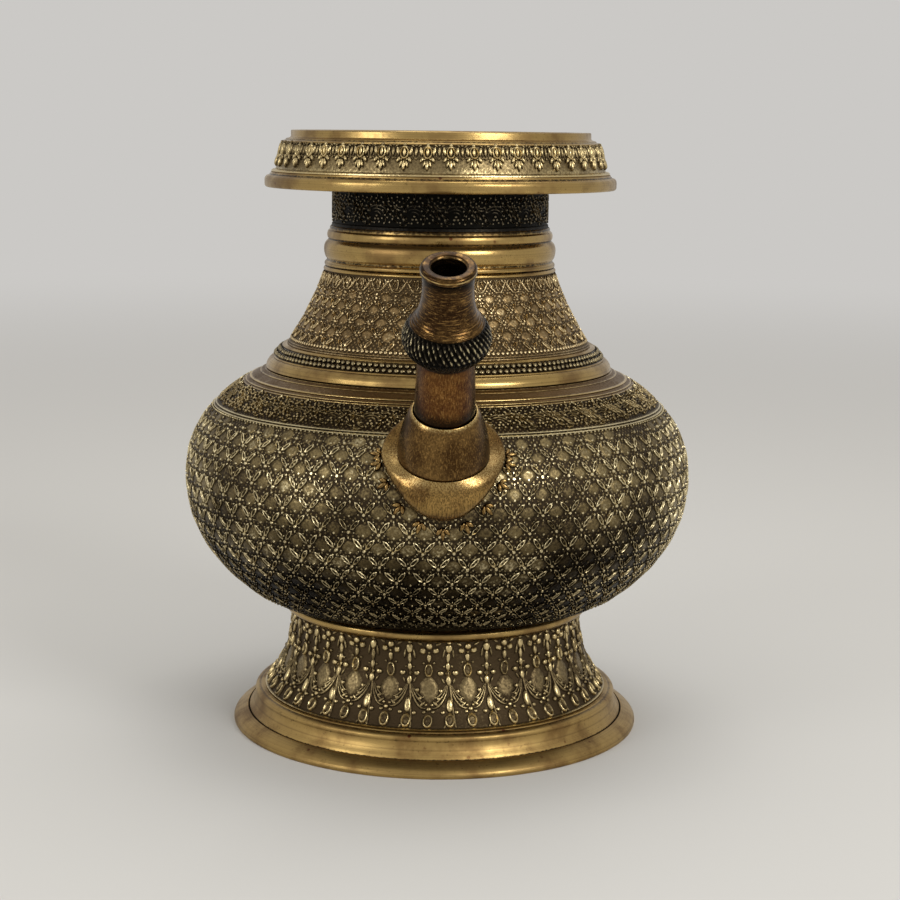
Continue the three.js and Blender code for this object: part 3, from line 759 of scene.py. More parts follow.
def roll(strip, radius_at, low, high, start, columns, across, inset=RELIEF, phase=0.0, sway=0.0):
    """Rolls a flat strip round a turned wall, from the height start, and keeps its relief. Sway, in mm,
    drifts the blows about and makes some shallower, as a chaser's hand does."""
    z, r, climb = climb_of(radius_at, low, high, start)
    unit = math.tau / columns / across
    x, y, lift = points_mm(strip).T * MM  # a flat strip is laid out with one unit to the mm
    turn_by = x * unit
    x, y, lift = (x + sway * (np.sin(5 * turn_by + 0.21 * y) + 0.6 * np.sin(13 * turn_by - 0.34 * y)),
                  y + sway * (np.sin(7 * turn_by - 0.27 * y + 1) + 0.6 * np.sin(17 * turn_by + 0.3 * y)),
                  lift * (1 - 0.4 * sway * (1 + np.sin(9 * turn_by + 0.5 * y))))
    at_z = np.interp(y * unit, climb, z)
    at_r = np.interp(at_z, z, r) - inset
    lean = np.interp(at_z, z, np.gradient(r, z))
    flat = np.hypot(1, lean)
    radius = at_r + lift / flat
    around = x * unit + phase
    rolled = np.stack([radius * np.sin(around), AXIS_Y - radius * np.cos(around), at_z - lift * lean / flat], 1)
    crest = np.clip(lift / lift.max(), 0, 1)
    store(strip, "relief", crest)
    store(strip, "dirt_and_shade", np.clip(1.4 - 1.2 * crest, 0, 1))
    store(strip, "rubbed_and_sheen", 0.45 * crest)
    set_points_mm(strip, rolled)
    return strip


# %% Trim and join
def delete_blows(strip, chosen, keep=False):
    """Deletes each blow that has a chosen point, or with keep on each blow that has none."""
    bpy.ops.object.mode_set(mode="EDIT")
    bpy.ops.mesh.select_mode(type="VERT")
    bpy.ops.mesh.select_all(action="DESELECT")
    bpy.ops.object.mode_set(mode="OBJECT")
    strip.data.vertices.foreach_set("select", chosen)
    bpy.ops.object.mode_set(mode="EDIT")
    bpy.ops.mesh.select_linked()
    if keep:
        bpy.ops.mesh.select_all(action="INVERT")
    bpy.ops.mesh.delete(type="VERT")
    bpy.ops.object.mode_set(mode="OBJECT")


def trim(strip, low, high, whole):
    """Deletes the blows that reach below low. Above high it deletes all that reach it, or if whole
    is off only those that lie above it altogether. No blow is ever cut in two."""
    choose(strip)
    z = points_mm(strip)[:, 2]
    delete_blows(strip, (z < low) | ((z > high) & whole))
    if not whole:
        delete_blows(strip, points_mm(strip)[:, 2] <= high, keep=True)


def count_rows(name, radius_at, low, high, start, row_turn):
    """Numbers the net's rows up a wall, point by point."""
    z, _, climb = climb_of(radius_at, low, high, start)
    store(pieces[name], "rows", np.interp(points_mm(pieces[name])[:, 2], z, climb) / row_turn)


def join_to(name, *strips):
    """Joins strips of relief to the turned piece that carries them."""
    body = pieces[name]
    choose(body, *strips)
    bpy.ops.object.join()
    triangles = sum(len(p.vertices) - 2 for p in body.data.polygons)
    print(name, "-", triangles, "triangles with its relief")


# %% [markdown]
# ## The diaper of the belly
# The whole belly is covered by a net of slim leaves. A rosette of seeds sits at each crossing, and
# a low dome with seeds under it fills each cell. 58 cells go round. Each row is shifted by half a
# cell, and the cells shrink with the radius, as they do on the real vase. The attribute rows counts
# the rows up the wall, so that the material can set fine punch marks in step with the net.

# %% Belly diaper
DIAPER_COLUMNS = 58
DIAPER_PHASE = 0.379  # how far the net is turned, in columns, to fall in step with the photo's
CELL = 10.8
ROW = CELL * 0.611


def diaper_motif(cell, row, tilt_angle, deep):
    """One crossing of the net with the two leaves above it, and the cell beside it."""
    leaf_long = 0.64 * math.hypot(cell / 2, row)
    seeds = [(0, 0, 0.19, 0.19), (-0.19, 0, 0.09, 0.09), (0.19, 0, 0.09, 0.09), (0, -0.17, 0.09, 0.15),
             (0, 0.2, 0.07, 0.13), (0.5, -0.06, 0.14, 0.14), (0.34, -0.2, 0.08, 0.08), (0.66, -0.2, 0.08, 0.08)]
    motif = [struck("dome", cell / 2, row * 0.14, cell * 0.67, cell * 0.53, deep * 0.5)]
    for sign in (-1, 1):
        x, y = sign * cell * 0.205, row * 0.41
        motif.append(struck("blade", x, y, cell * 0.185, leaf_long, deep, -sign * tilt_angle))
    return motif + [struck("seed", x * cell, y * cell, wide * cell, tall * cell, deep) for x, y, wide, tall in seeds]


def diaper_strip(name, radius_at, span, low, high, start, first_row, rows, columns, cell, row, phase, whole):
    """A net rolled round a wall, from its first row up, and trimmed between two heights."""
    motif = diaper_motif(cell, row, math.degrees(math.atan2(cell / 2, row)), RELIEF)
    strip = repeat(motif, name, cell, columns, rows, (cell / 2, row))
    strip.data.transform(Matrix.Translation((first_row * cell / 2, first_row * row, 0)))
    roll(strip, radius_at, *span, start, columns, cell, RELIEF + 0.02, phase, sway=0.27)
    trim(strip, low, high, whole)
    return strip


ROW_ZERO_Z = 90.8
cell_turn = math.tau / DIAPER_COLUMNS
net = dict(radius_at=belly_radius, span=(BELLY_Z - 1, BEAD_RING_Z), start=ROW_ZERO_Z, columns=DIAPER_COLUMNS,
           cell=CELL, row=ROW, phase=DIAPER_PHASE * cell_turn)
lower_net = diaper_strip("net_low", low=BELLY_Z + 0.3, high=EQUATOR_Z, first_row=-7, rows=10, whole=False, **net)
upper_net = diaper_strip("net_high", low=EQUATOR_Z, high=131.1, first_row=0, rows=9, whole=True, **net)
join_to("belly_lower", lower_net)
pearls = [struck("seed", k * CELL / 5, 0, 1.1, 1.1, RELIEF) for k in range(5)]
line_pearls = repeat(pearls, "line_pearls", CELL, DIAPER_COLUMNS)
roll(line_pearls, belly_radius, 120, 140, 130.8, DIAPER_COLUMNS, CELL)

# %% [markdown]
# ## The scroll band
# Above a double line runs a dense band of leaves. One repeat of it holds a swirl of bent strokes
# with three berries in it, three leaves that slant across the band, two more bent strokes, and
# small blades and seeds that fill every gap. The same drawing, made smaller, also fills the neck.

# %% Scroll motif for the shoulder and the neck
BLADES = 15


def spread(k):
    """The k-th of a run of places that never bunch up, as shares of a width and a height."""
    return k * 0.7549 % 1, k * 0.5698 % 1


def scroll_motif(long, tall, deep):
    """One repeat of the scroll. Places and sizes are shares of its length and its height."""
    def put(kind, x, y, wide, high, turned=0.0):
        return struck(kind, x * long, y * tall, wide * tall, high * tall, deep, turned)

    def bow(x, y, size, turned, thick):
        """A bent leaf stroke: half of a ring, drawn as a tapered strand."""
        a = [math.radians(turned + k) for k in (-80, -45, 0, 45, 80)]
        run = [(x * long + size * tall * math.sin(b), y * tall + size * tall * math.cos(b)) for b in a]
        return strand(run, [thick * tall * w for w in (0.4, 1, 1.2, 1, 0.4)], deep)

    motif = [bow(-0.22, 0.34, 0.16, 20, 0.075), bow(-0.22, 0.34, 0.29, 10, 0.08), bow(-0.22, 0.34, 0.43, 0, 0.085)]
    motif += [put("bead", -0.22 + x * 0.09, 0.33 + y * 0.11, 0.1, 0.1) for x, y in ((-0.5, -0.9), (0.5, -0.9), (0, 0))]
    motif += [put("leaf", 0.1 + 0.15 * k, 0.54 - 0.05 * k, 0.08, 0.72, 38) for k in range(3)]
    motif += [bow(0.4, 0.7, 0.13, 190, 0.07), bow(0.4, 0.7, 0.24, 200, 0.075)]
    filler = [(x - 0.5, 0.04 + 0.92 * y) for x, y in map(spread, range(58))]
    filler = [(x, y) for x, y in filler if math.hypot((x + 0.22) * long, (y - 0.4) * tall) > 0.25 * tall]
    motif += [put("blade", *at, 0.09, 0.26, 37 * k % 180 - 90) for k, at in enumerate(filler[:BLADES])]
    motif += [put("seed", *at, 0.1, 0.1) for at in filler[BLADES:]]
    return motif


SCROLLS = 34
scroll_long = math.tau * 86 / SCROLLS
scroll = repeat(scroll_motif(scroll_long, 12.2, RELIEF), "scroll", scroll_long, SCROLLS)
roll(scroll, belly_radius, 128, 146, 133.0, SCROLLS, scroll_long, phase=0.1, sway=0.15)
join_to("belly_upper", upper_net, line_pearls, scroll)
for name in ("belly_lower", "belly_upper"):
    count_rows(name, belly_radius, BELLY_Z - 1, BEAD_RING_Z, ROW_ZERO_Z, ROW / CELL * cell_turn)

NECK_SCROLLS = 17
neck_long = math.tau * 42.8 / NECK_SCROLLS
neck_scroll = repeat(scroll_motif(neck_long, 11.8, 0.8), "neck_scroll", neck_long, NECK_SCROLLS)
roll(neck_scroll, lambda z: np.full_like(z, NECK_R), 203, 217, 204.3, NECK_SCROLLS, neck_long, inset=0.8, phase=0.2)
join_to("neck_tube", neck_scroll)

# %% [markdown]
# ## Beads, cone net and lambrequins
# The channel of the shoulder ring holds two rows of beads, set like bricks and a little uneven in
# size and place. The cone has the belly's net at a smaller size, over a hem of beads. Under the
# collar hangs a row of pointed lambrequins, each a cord with leaves and pearls inside and between.

# %% Bead rows and the cone
BEADS = 168  # in each row
GROUP = 6  # beads of a row that differ, before they repeat
BEAD_ROWS = (1.25, 3.45)
CHANNEL_Z = (150.5, 154.8)
bead_gap = math.tau * 65 / BEADS


def channel_radius(z):
    """Radius of the sunk channel, which leans inwards."""
    return np.interp(z, CHANNEL_Z, [66.6, 62.7])


bead_group = []
for k in range(2 * GROUP):
    shift, turned = spread(k)
    bead_group.append(struck("bead", k * bead_gap / 2, BEAD_ROWS[k % 2] + 0.3 * (shift - 0.5),
                             2.2 - 0.4 * (k * 0.618 % 1), 1.9 + 0.35 * (k * 0.382 % 1), 1.1, 40 * turned))
beads = repeat(bead_group, "beads", bead_gap * GROUP, BEADS // GROUP)
roll(beads, channel_radius, *CHANNEL_Z, 150.8, BEADS // GROUP, bead_gap * GROUP, inset=0.15, sway=0.1)
join_to("shoulder_bead_ring", beads)

CONE_COLUMNS = 38
CONE_PHASE = 0.13
CONE_ROW_ZERO_Z = 158.0
cone_cell = math.tau * 53 / CONE_COLUMNS
cone_net = diaper_strip("cone_net", cone_radius, (CONE_Z, COLLAR_Z), low=157.2, high=179.8, start=CONE_ROW_ZERO_Z,
                        first_row=0, rows=6, columns=CONE_COLUMNS, cell=cone_cell, row=cone_cell * 0.6,
                        phase=CONE_PHASE, whole=True)
hem_beads = [struck("bead", k * cone_cell / 5, 0.6, 1.35, 1.3, 0.5) for k in range(5)]
hem_row = repeat(hem_beads, "cone_hem", cone_cell, CONE_COLUMNS)
roll(hem_row, cone_radius, CONE_Z, COLLAR_Z, 157.3, CONE_COLUMNS, cone_cell)
half = math.tau * 47.6 / CONE_COLUMNS / 2
hanging = [strand([(-half, 6.6), (-half * 0.9, 3.4), (0, -2.2), (half * 0.9, 3.4), (half, 6.6)], [0.6] * 5, 0.45),
           struck("pearl", 0, 0.35, 1.3, 1.3, 0.7), struck("leaf", 0, 4.6, 1.5, 5.0, 0.6),
           struck("pearl", half, 5.6, 1.2, 1.2, 0.65), struck("pearl", half, 1.4, 1.0, 1.0, 0.6)]
hanging += mirrored(("leaf", 1.7, 4.9, 1.0, 3.9, 0.55, 24), ("petal", 2.7, 6.1, 0.7, 2.6, 0.5, 35),
                    ("leaf", half * 0.8, 0.5, 1.0, 2.6, 0.55, 55), ("petal", half * 0.72, 4.3, 0.6, 3.6, 0.6, -28),
                    ("petal", half * 0.45, 2.6, 0.6, 3.2, 0.6, -34))
lambrequins = repeat(hanging, "lambrequins", 2 * half, CONE_COLUMNS)
roll(lambrequins, cone_radius, 172, COLLAR_Z, 178.0, CONE_COLUMNS, 2 * half, phase=CONE_PHASE, sway=0.12)
join_to("shoulder_cone", cone_net, hem_row, lambrequins)
count_rows("shoulder_cone", cone_radius, CONE_Z, COLLAR_Z, CONE_ROW_ZERO_Z, 0.6 * math.tau / CONE_COLUMNS)

# %% [markdown]
# ## Leaves round the boss
# Eleven small sprays of three petals stand out from the edge of the boss, down both sides and under
# it. They follow the boss's own rounded outline, a little outside it, and belong to its casting.

# %% Boss leaves
sprays = []
for k in range(-5, 6):
    a = math.radians(k * 19.0)
    x, y = 23.4 * math.sin(a), -(abs(math.cos(a)) ** 1.6) * 25.2 * (1 if math.cos(a) > 0 else -0.8)
    for lean, long in ((-42, 3.8), (0, 5.0), (42, 3.8)):
        b = a + math.radians(lean)
        out_x, out_y = 0.55 * long * math.sin(b), -0.55 * long * math.cos(b)
        sprays.append(struck("petal", x + out_x, y + out_y, 1.9, long, 1.1, math.degrees(b)))
spray = repeat(sprays, "boss_leaves", CELL, 1)
roll(spray, belly_radius, BELLY_Z - 1, BEAD_RING_Z, BOSS_Z, DIAPER_COLUMNS, CELL, inset=RELIEF - 0.1)
join_to("spout_boss", spray)

# %% [markdown]
# ## Pendants of the rim drum
# 47 cast clusters hang round the drum. Each has a raised oval with a petal in it, under a small
# arch, with petals at its sides and three petals below. A small drop hangs between each two.

# %% Rim pendants
PENDANTS = 47
pendant_gap = math.tau * 65 / PENDANTS
between = pendant_gap / 2
arch = [(-3.3, 6.2), (-3.5, 9.4), (0, 12.2), (3.5, 9.4), (3.3, 6.2)]
cluster = [
    struck("oval", 0, 7.7, 3.5, 5.0, 1.3), struck("petal", 0, 7.9, 1.5, 3.9, 1.4),
    struck("petal", 0, 2.9, 1.7, 4.2, 1.4), struck("bead", 0, 10.6, 1.7, 1.6, 1.1),
    struck("drop", between, 8.0, 1.5, 3.7, 0.95, 180), struck("bead", between, 5.5, 1.0, 1.0, 0.8),
    struck("bead", between, 10.6, 1.2, 1.2, 0.8),
    strand(arch, [0.7, 0.9, 1.0, 0.9, 0.7], 0.9),
]
cluster += mirrored(
    ("petal", 2.1, 5.0, 1.5, 2.7, 1.2, 30), ("petal", 2.45, 8.2, 1.6, 3.8, 1.2, -12),
    ("petal", 1.1, 3.4, 1.2, 3.2, 1.25, 16), ("pearl", 3.1, 5.7, 0.9, 0.9, 0.7, 0),
    ("bead", 1.05, 5.2, 0.9, 0.9, 1.0, 0), ("petal", 3.0, 10.3, 0.9, 2.0, 0.8, 52),
)
drum = repeat(cluster, "pendants", pendant_gap, PENDANTS)
roll(drum, frieze_radius, FRIEZE_Z + 1.3, LIP_Z + 1, FRIEZE_Z + 1.4, PENDANTS, pendant_gap, inset=0.7,
     phase=0.257 * math.tau / PENDANTS, sway=0.1)
join_to("rim_frieze_band", drum)

# %% [markdown]
# ## Festoons of the foot
# 25 columns stand round the skirt. Each has a bud, a stem with a crossbar of beads, and three pairs
# of curling sprays, which meet those of its neighbours under a low pillow. A drop hangs below the
# sprays. Between the columns hang trefoils over a bud and an oval, and 50 raised ovals with sunk
# middles stand along the hem.

# %% Foot festoons
FESTOONS = 25
wide = math.tau * 62 / FESTOONS
gap = wide / 2
festoon = [
    struck("drop", 0, 30.4, 3.6, 4.4, 1.2, 180), struck("bead", 0, 32.9, 2.0, 1.3, 0.9),
    struck("petal", 0, 26.6, 1.9, 5.4, 1.0), struck("petal", 0, 23.0, 2.2, 4.0, 1.1),
    struck("ring", 0, 20.3, 2.2, 2.2, 1.1), struck("petal", 0, 17.6, 2.5, 4.6, 1.15),
    struck("drop", 0, 8.5, 3.2, 6.4, 1.3), struck("oval", 0, 2.5, 3.5, 5.4, 1.2),
    struck("oval", gap, 2.5, 3.5, 5.4, 1.2), struck("bead", gap, 6.9, 1.9, 1.9, 1.1),
    struck("dome", gap, 14.3, 8.8, 11.4, 0.55), struck("bead", gap, 31.4, 2.9, 3.0, 1.2),
    struck("drop", gap, 26.6, 2.4, 4.0, 1.1, 180), struck("oval", gap, 21.6, 3.4, 5.9, 1.2),
    struck("pearl", gap, 29.0, 1.3, 1.3, 1.0),
]
festoon += mirrored(
    ("bead", 2.9, 20.4, 2.7, 2.3, 1.15, 0), ("bead", 3.3, 13.7, 1.9, 1.9, 1.0, 0),
    ("bead", 4.3, 10.7, 1.6, 1.6, 0.9, 0), ("bead", 2.5, 5.6, 1.8, 1.8, 1.0, 0), ("petal", 1.8, 0.4, 0.8, 1.9, 0.7, 20),
    ("dome", gap - 2.6, 29.6, 3.1, 3.3, 1.1, 30), ("bead", gap - 2.1, 24.6, 1.2, 1.2, 0.8, 0),
    ("bead", gap - 1.7, 5.9, 1.5, 1.5, 0.9, 0), ("petal", 1.9, 28.4, 1.0, 4.6, 0.8, 10),
    ("petal", gap - 3.6, 32.3, 1.2, 2.8, 0.8, 62), ("bead", 1.6, 23.0, 1.1, 1.1, 0.8, 0),
    ("petal", 2.2, 17.6, 0.9, 3.0, 0.8, -24), ("drop", gap - 2.3, 8.9, 1.5, 3.0, 0.9, -48),
    ("bead", gap - 1.1, 8.4, 1.3, 1.3, 1.0, 0),
)
festoon.append(strand([(0, 31.5), (0, 27.0), (0, 21.5), (0, 16.0)], [1.3, 1.3, 1.5, 1.4], 0.85))
for nested, width, reach in ((0.0, 1.35, 1.0), (1.0, 1.15, 0.86), (2.0, 1.0, 0.68)):
    spray_line = [(0.4 + nested * 0.35, 16.2 - nested * 0.2), (1.1 + nested * 0.95, 12.2),
                  (2.7 + nested * 1.1, 8.8 + nested * 1.1), (4.9 * reach + nested * 1.1, 6.7 + nested * 1.9),
                  (6.5 * reach + nested * 0.8, 7.3 + nested * 2.1)]
    for sign in (-1, 1):
        side_line = [(sign * x, y) for x, y in spray_line]
        festoon.append(strand(side_line, [width * w for w in (0.5, 0.9, 1.1, 1.1, 0.6)], 1.0))
hem = repeat(festoon, "festoons", wide, FESTOONS)
roll(hem, skirt_radius, SKIRT_Z, FOOT_BEAD_Z, 15.6, FESTOONS, wide, inset=FOOT_RELIEF,
     phase=0.263 * math.tau / FESTOONS, sway=0.18)
join_to("foot_skirt", hem)

# %% Put the stamps away
for shape in stamps.values():
    bpy.data.objects.remove(shape)

# %% [markdown]
# ## Colours and nodes
# Colours are picked as sRGB hex values, as on a screen, and one function turns them to the linear
# values that the shader needs. Each new material comes with one small function that adds a node to
# it, with its settings and its links, and hands back the node's output. Aged metal is painted like
# a wall: a base colour, and coats over it that set in where the metal is sunk, cloudy or rubbed.

# %% Colour and node helpers
EASED = {"interpolation_type": "SMOOTHSTEP"}


def linear(hex_colour):
    """An sRGB hex colour as linear RGBA."""
    parts = [int(hex_colour[i:i + 2], 16) / 255 for i in (1, 3, 5)]
    return tuple(c / 12.92 if c <= 0.04045 else ((c + 0.055) / 1.055) ** 2.4 for c in parts) + (1.0,)


def per_mm(size):
    """Texture scale for marks about this many mm apart. A scale counts the marks in a metre."""
    return 1 / (size * MM)


def new_material(name):
    """A bare material, and the function that adds nodes to it."""
    material = bpy.data.materials.new(name)
    material.use_nodes = True
    tree = material.node_tree
    tree.nodes.clear()

    def node(kind, inputs=(), out=0, **settings):
        """Adds a node. Its inputs, in order or by name, take values, hex colours or links."""
        added = tree.nodes.new("ShaderNode" + kind)
        for key, value in settings.items():
            setattr(added, key, value)
        for key, value in inputs.items() if isinstance(inputs, dict) else enumerate(inputs):
            if isinstance(value, bpy.types.NodeSocket):
                tree.links.new(value, added.inputs[key])
            else:
                added.inputs[key].default_value = linear(value) if isinstance(value, str) else value
        return added.outputs[out] if added.outputs else None

    return material, node


def coats(node, colour, *layers):
    """Lays coats of colour over a colour. A coat's share is a link, or a value with the range in
    which the coat sets in and, if not from none to all, how thin it starts and how thick it ends."""
    for share, coat, *blend in layers:
        if isinstance(share, tuple):
            share = node("MapRange", share, **EASED)
        how = blend[0] if blend else "MIX"
        colour = node("Mix", {0: share, 6: colour, 7: coat}, 2, data_type="RGBA", blend_type=how)
    return colour


def brass_surface(material, node, colour, rough, height, bump_mm, strength):
    """Metal with the given colour, roughness and fine relief."""
    normal = node("Bump", {"Height": height, "Distance": bump_mm * MM, "Strength": strength})
    shader = node("BsdfPrincipled", {"Base Color": colour, "Roughness": rough, "Metallic": 1.0, "Normal": normal})
    node("OutputMaterial", {"Surface": shader})
    print(material.name, "-", len(material.node_tree.nodes), "nodes")
    return material


# %% [markdown]
# ## Turned and polished brass
# The mouldings were turned and are rubbed by handling, so they are the brightest metal: pale gold,
# with fine lines round the axis and cloudy brown patches where the patina has come back. The lines
# are 0.7 mm apart, coarser than real ones, so that they still show at this size. The foot is less
# handled, so its rings have the same metal with a duller, satin gloss.

# %% Turned brass
def axis_place(node):
    """Object coordinates centred on the turning axis."""
    return node("Mapping", {"Vector": node("TexCoord", out="Object"), "Location": (0, -AXIS_Y * MM, 0)})


def turned_lines(node, place, spacing):
    """Noise that only changes along the outline, as the tool's marks do."""
    flat = node("VectorMath", (place, (1, 1, 0)), operation="MULTIPLY")
    across = node("VectorMath", (flat,), "Value", operation="LENGTH")
    along = node("CombineXYZ", (across, node("SeparateXYZ", (place,), "Z")))
    return node("TexNoise", {"Vector": along, "Scale": per_mm(spacing), "Detail": 2.0})


def dirt_and_shade(node, grit):
    """The share of a dark coat, of dirt in the grooves and of painted shadow at the foot of the spout's cup: the
    attribute with an uneven edge, and where it sets in.
    """
    dirt = node("Attribute", out="Fac", attribute_name="dirt_and_shade")
    ragged = node("Math", (dirt, node("MapRange", (grit, 0.3, 0.7, -0.2, 0.2), **EASED)), operation="ADD")
    return ragged, 0.25, 0.85, 0.0, 0.95


def turned_brass(name, bright, aged, deep, rough=(0.23, 0.43)):
    """Rubbed metal with tool lines, brown clouds, dark specks, a few red pits and dirty grooves."""
    material, node = new_material(name)
    place = axis_place(node)
    # Lines 0.7 mm apart, clouds of patina 18 mm across, specks of 1 mm, and pits in cells of 7 mm
    lines = turned_lines(node, place, spacing=0.7)
    clouds = node("TexNoise", {"Vector": place, "Scale": per_mm(18.18), "Detail": 5.0, "Roughness": 0.6})
    specks = node("TexNoise", {"Vector": place, "Scale": per_mm(1.111), "Detail": 2.0})
    pits = node("TexVoronoi", {"Vector": place, "Scale": per_mm(7.143)})
    pitted = node("Math", (node("MapRange", (pits, 0.13, 0.07), **EASED),
                           node("MapRange", (clouds, 0.5, 0.6), **EASED)), operation="MULTIPLY")
    rubbed_and_sheen = node("Attribute", out="Fac", attribute_name="rubbed_and_sheen")
    colour = coats(node, bright,
                   ((clouds, 0.42, 0.68), aged),
                   ((lines, 0.5, 0.72, 0, 0.5), deep),
                   ((specks, 0.62, 0.75, 0, 0.45), deep),
                   (pitted, "#5A2E1C"),
                   ((rubbed_and_sheen, 0.02, 0.3, 0, 0.85), "#9C8F6D"),
                   (dirt_and_shade(node, specks), "#241B12"))
    roughness = node("MapRange", (clouds, 0.35, 0.75, *rough), **EASED)
    return brass_surface(material, node, colour, roughness, lines, 0.05, 0.35)


polished = turned_brass("turned_brass_rubbed", "#B2955C", "#856A41", "#523F27")
satin = turned_brass("turned_brass_satin", "#AD9058", "#80643C", "#4E3B25", rough=(0.36, 0.52))

# %% [markdown]
# ## Chased brass under old patina
# Dirt and oxide stay in the sunk ground and are rubbed off the relief. Every chased piece carries an
# attribute called relief, 0 in the ground and 1 on the crests, and the colour follows it. On the knop
# that attribute also holds painted highlight streaks and painted shade. The lower belly has painted
# shade too: it grows darker towards the bottom. The ground is stippled all over, with marks 0.9 mm
# apart, and in the nets the fine round marks of a punch follow the cells. Real stipple is finer, but
# it would not show at this size.

# %% Chased brass
def punch_marks(node, place, columns, phase, last_row):
    """Small round marks in step with a net: one where a mark is, nothing between or above the net."""
    x, y = (node("SeparateXYZ", (place,), axis) for axis in "XY")
    angle = node("Math", (x, node("Math", (y, -1.0), operation="MULTIPLY")), operation="ARCTAN2")
    column = node("Math", (angle, columns / math.tau, -phase), operation="MULTIPLY_ADD")
    rows = node("Attribute", out="Fac", attribute_name="rows")
    grid = node("CombineXYZ", [node("Math", (rows, lean, column), operation="MULTIPLY_ADD") for lean in (-0.5, 0.5)])
    dots = node("TexVoronoi", {"Vector": grid, "Scale": 5.0, "Randomness": 0.25}, voronoi_dimensions="2D")
    return node("Math", (node("MapRange", (dots, 0.36, 0.16), **EASED),
                         node("MapRange", (rows, last_row + 0.1, last_row), **EASED)), operation="MULTIPLY")


def chased_brass(name, ground, middle, crest, rough=(0.62, 0.3), painted_low_shade=None, dim_band=None, net=None):
    """Brass whose colour follows the relief. The lower wall can be given painted shade, darker towards
    the bottom: a height that is all dark, one where the dark ends, and its shade. Dim_band is shaded
    between two heights. Net is what punch_marks needs."""
    material, node = new_material(name)
    place = axis_place(node)
    # Clouds of patina 26 mm across, and grain and stipple of 0.9 mm
    relief, turned = (node("Attribute", out="Fac", attribute_name=wear) for wear in ("relief", "turned"))
    clouds = node("TexNoise", {"Vector": place, "Scale": per_mm(26.32), "Detail": 5.0, "Roughness": 0.6})
    grain = node("TexNoise", {"Vector": place, "Scale": per_mm(0.909), "Detail": 3.0})
    stipple = node("TexVoronoi", {"Vector": place, "Scale": per_mm(0.909)})
    height = node("Math", (stipple, grain), operation="ADD")
    worn = relief
    if net:
        marks = node("Math", (punch_marks(node, place, *net), node("MapRange", (relief, 0.3, 0.1), **EASED)),
                     operation="MULTIPLY")
        worn = node("Math", (marks, 0.5, worn), operation="MULTIPLY_ADD")
        height = node("Math", (marks, 1.5, height), operation="MULTIPLY_ADD")
    for noise, spread in ((clouds, 0.16), (grain, 0.12)):
        worn = node("Math", (worn, node("MapRange", (noise, 0.3, 0.7, -spread, spread), **EASED)), operation="ADD")
    up = node("SeparateXYZ", (place,), "Z")
    colour = coats(node, ground, ((worn, 0.1, 0.5), middle))
    # Painted shade: the wall grows darker towards the bottom, below the height where the dark ends.
    if painted_low_shade:
        all_dark, dark_ends, shade = painted_low_shade
        drift = node("Math", (up, node("MapRange", (clouds, 0.3, 0.7, -6 * MM, 6 * MM), **EASED)), operation="ADD")
        low = node("MapRange", (drift, dark_ends * MM, all_dark * MM), **EASED)
        colour = coats(node, colour, (low, shade, "MULTIPLY"))
    colour = coats(node, colour, ((stipple, 0.3, 0.6, 0.35, 0.0), ground), ((worn, 0.5, 0.9), crest))
    if painted_low_shade:
        # The crests low on the wall take part of the painted shade too.
        colour = coats(node, colour, (low, "#B5AFA6", "MULTIPLY"))
    if dim_band:
        bottom, top, shade = dim_band
        within = node("Math", (node("MapRange", (up, (bottom - 0.3) * MM, (bottom + 0.3) * MM), **EASED),
                               node("MapRange", (up, (top + 0.2) * MM, (top - 0.2) * MM), **EASED)),
                      operation="MULTIPLY")
        colour = coats(node, colour, (within, shade, "MULTIPLY"))
    golden = coats(node, "#2A1F14", ((worn, 0.1, 0.45), "#694F2E"), ((worn, 0.6, 1.0), "#C8AB6E"))
    colour = coats(node, colour, ((turned, 0, 1, 0, 0.9), golden))
    roughness = node("MapRange", (worn, 0.0, 0.9, *rough), **EASED)
    return brass_surface(material, node, colour, roughness, height, 0.12, 0.5)


# The lower belly gets painted shade, darker from 112 mm down to 64 mm.
chased = chased_brass("chased_brass_patina_low_shade", "#3D3326", "#80704D", "#DBCCA2", painted_low_shade=(64, 112, "#3E3833"),
                      dim_band=(132.8, 140.5, "#C2BAAD"), net=(DIAPER_COLUMNS, DIAPER_PHASE, 8.2))
chased_cone = chased_brass("chased_brass_cone", "#4D3F2B", "#8E7650", "#D7C193",
                           net=(CONE_COLUMNS, CONE_PHASE / math.tau * CONE_COLUMNS, 5.3))
chased_high = chased_brass("chased_brass_rubbed", "#493C2A", "#847351", "#D0BB89")
neck_dark = chased_brass("chased_brass_black", "#161512", "#2B2824", "#7A705C", rough=(0.6, 0.42))
knop_brass = chased_brass("fluted_brass_black", "#0F0D0A", "#332D24", "#B9AC86", rough=(0.45, 0.25))

# %% [markdown]
# ## Brushed brass of the spout
# The spout was drawn and brushed. Its patina is redder, with dark and golden speckles, and it is
# rubbed gold where hands and cloths reach it. The same gold is also painted on as highlights round
# the top and the foot of the cup and along the lip's edge, and as painted light inside the bore. The
# boss has a lighter copy of the brass as painted light, the tube a darker one as painted shade, and
# the cup one in between. The grain is a noise stretched along the spout's axis on the tube, the cup
# and the boss, and round the axis on the throat and the lip. Its streaks are about 0.4 mm apart,
# coarser than real scratches, so that they show.

# %% Brushed brass
ALONG, ALONG_BOSS, ROUND_AXIS = (0.8, 0.8, 0.2), (0.8, 0.8, 0.1), (0.12, 0.12, 0.8)


def spout_place(node):
    """Object coordinates laid along the spout: Z runs up its axis."""
    moved = node("VectorMath", (node("TexCoord", out="Object"), (0, SEAT_Y * MM, SEAT_Z * MM)), operation="SUBTRACT")
    return node("VectorRotate", {"Vector": moved, "Angle": -SPOUT_TILT}, rotation_type="X_AXIS")


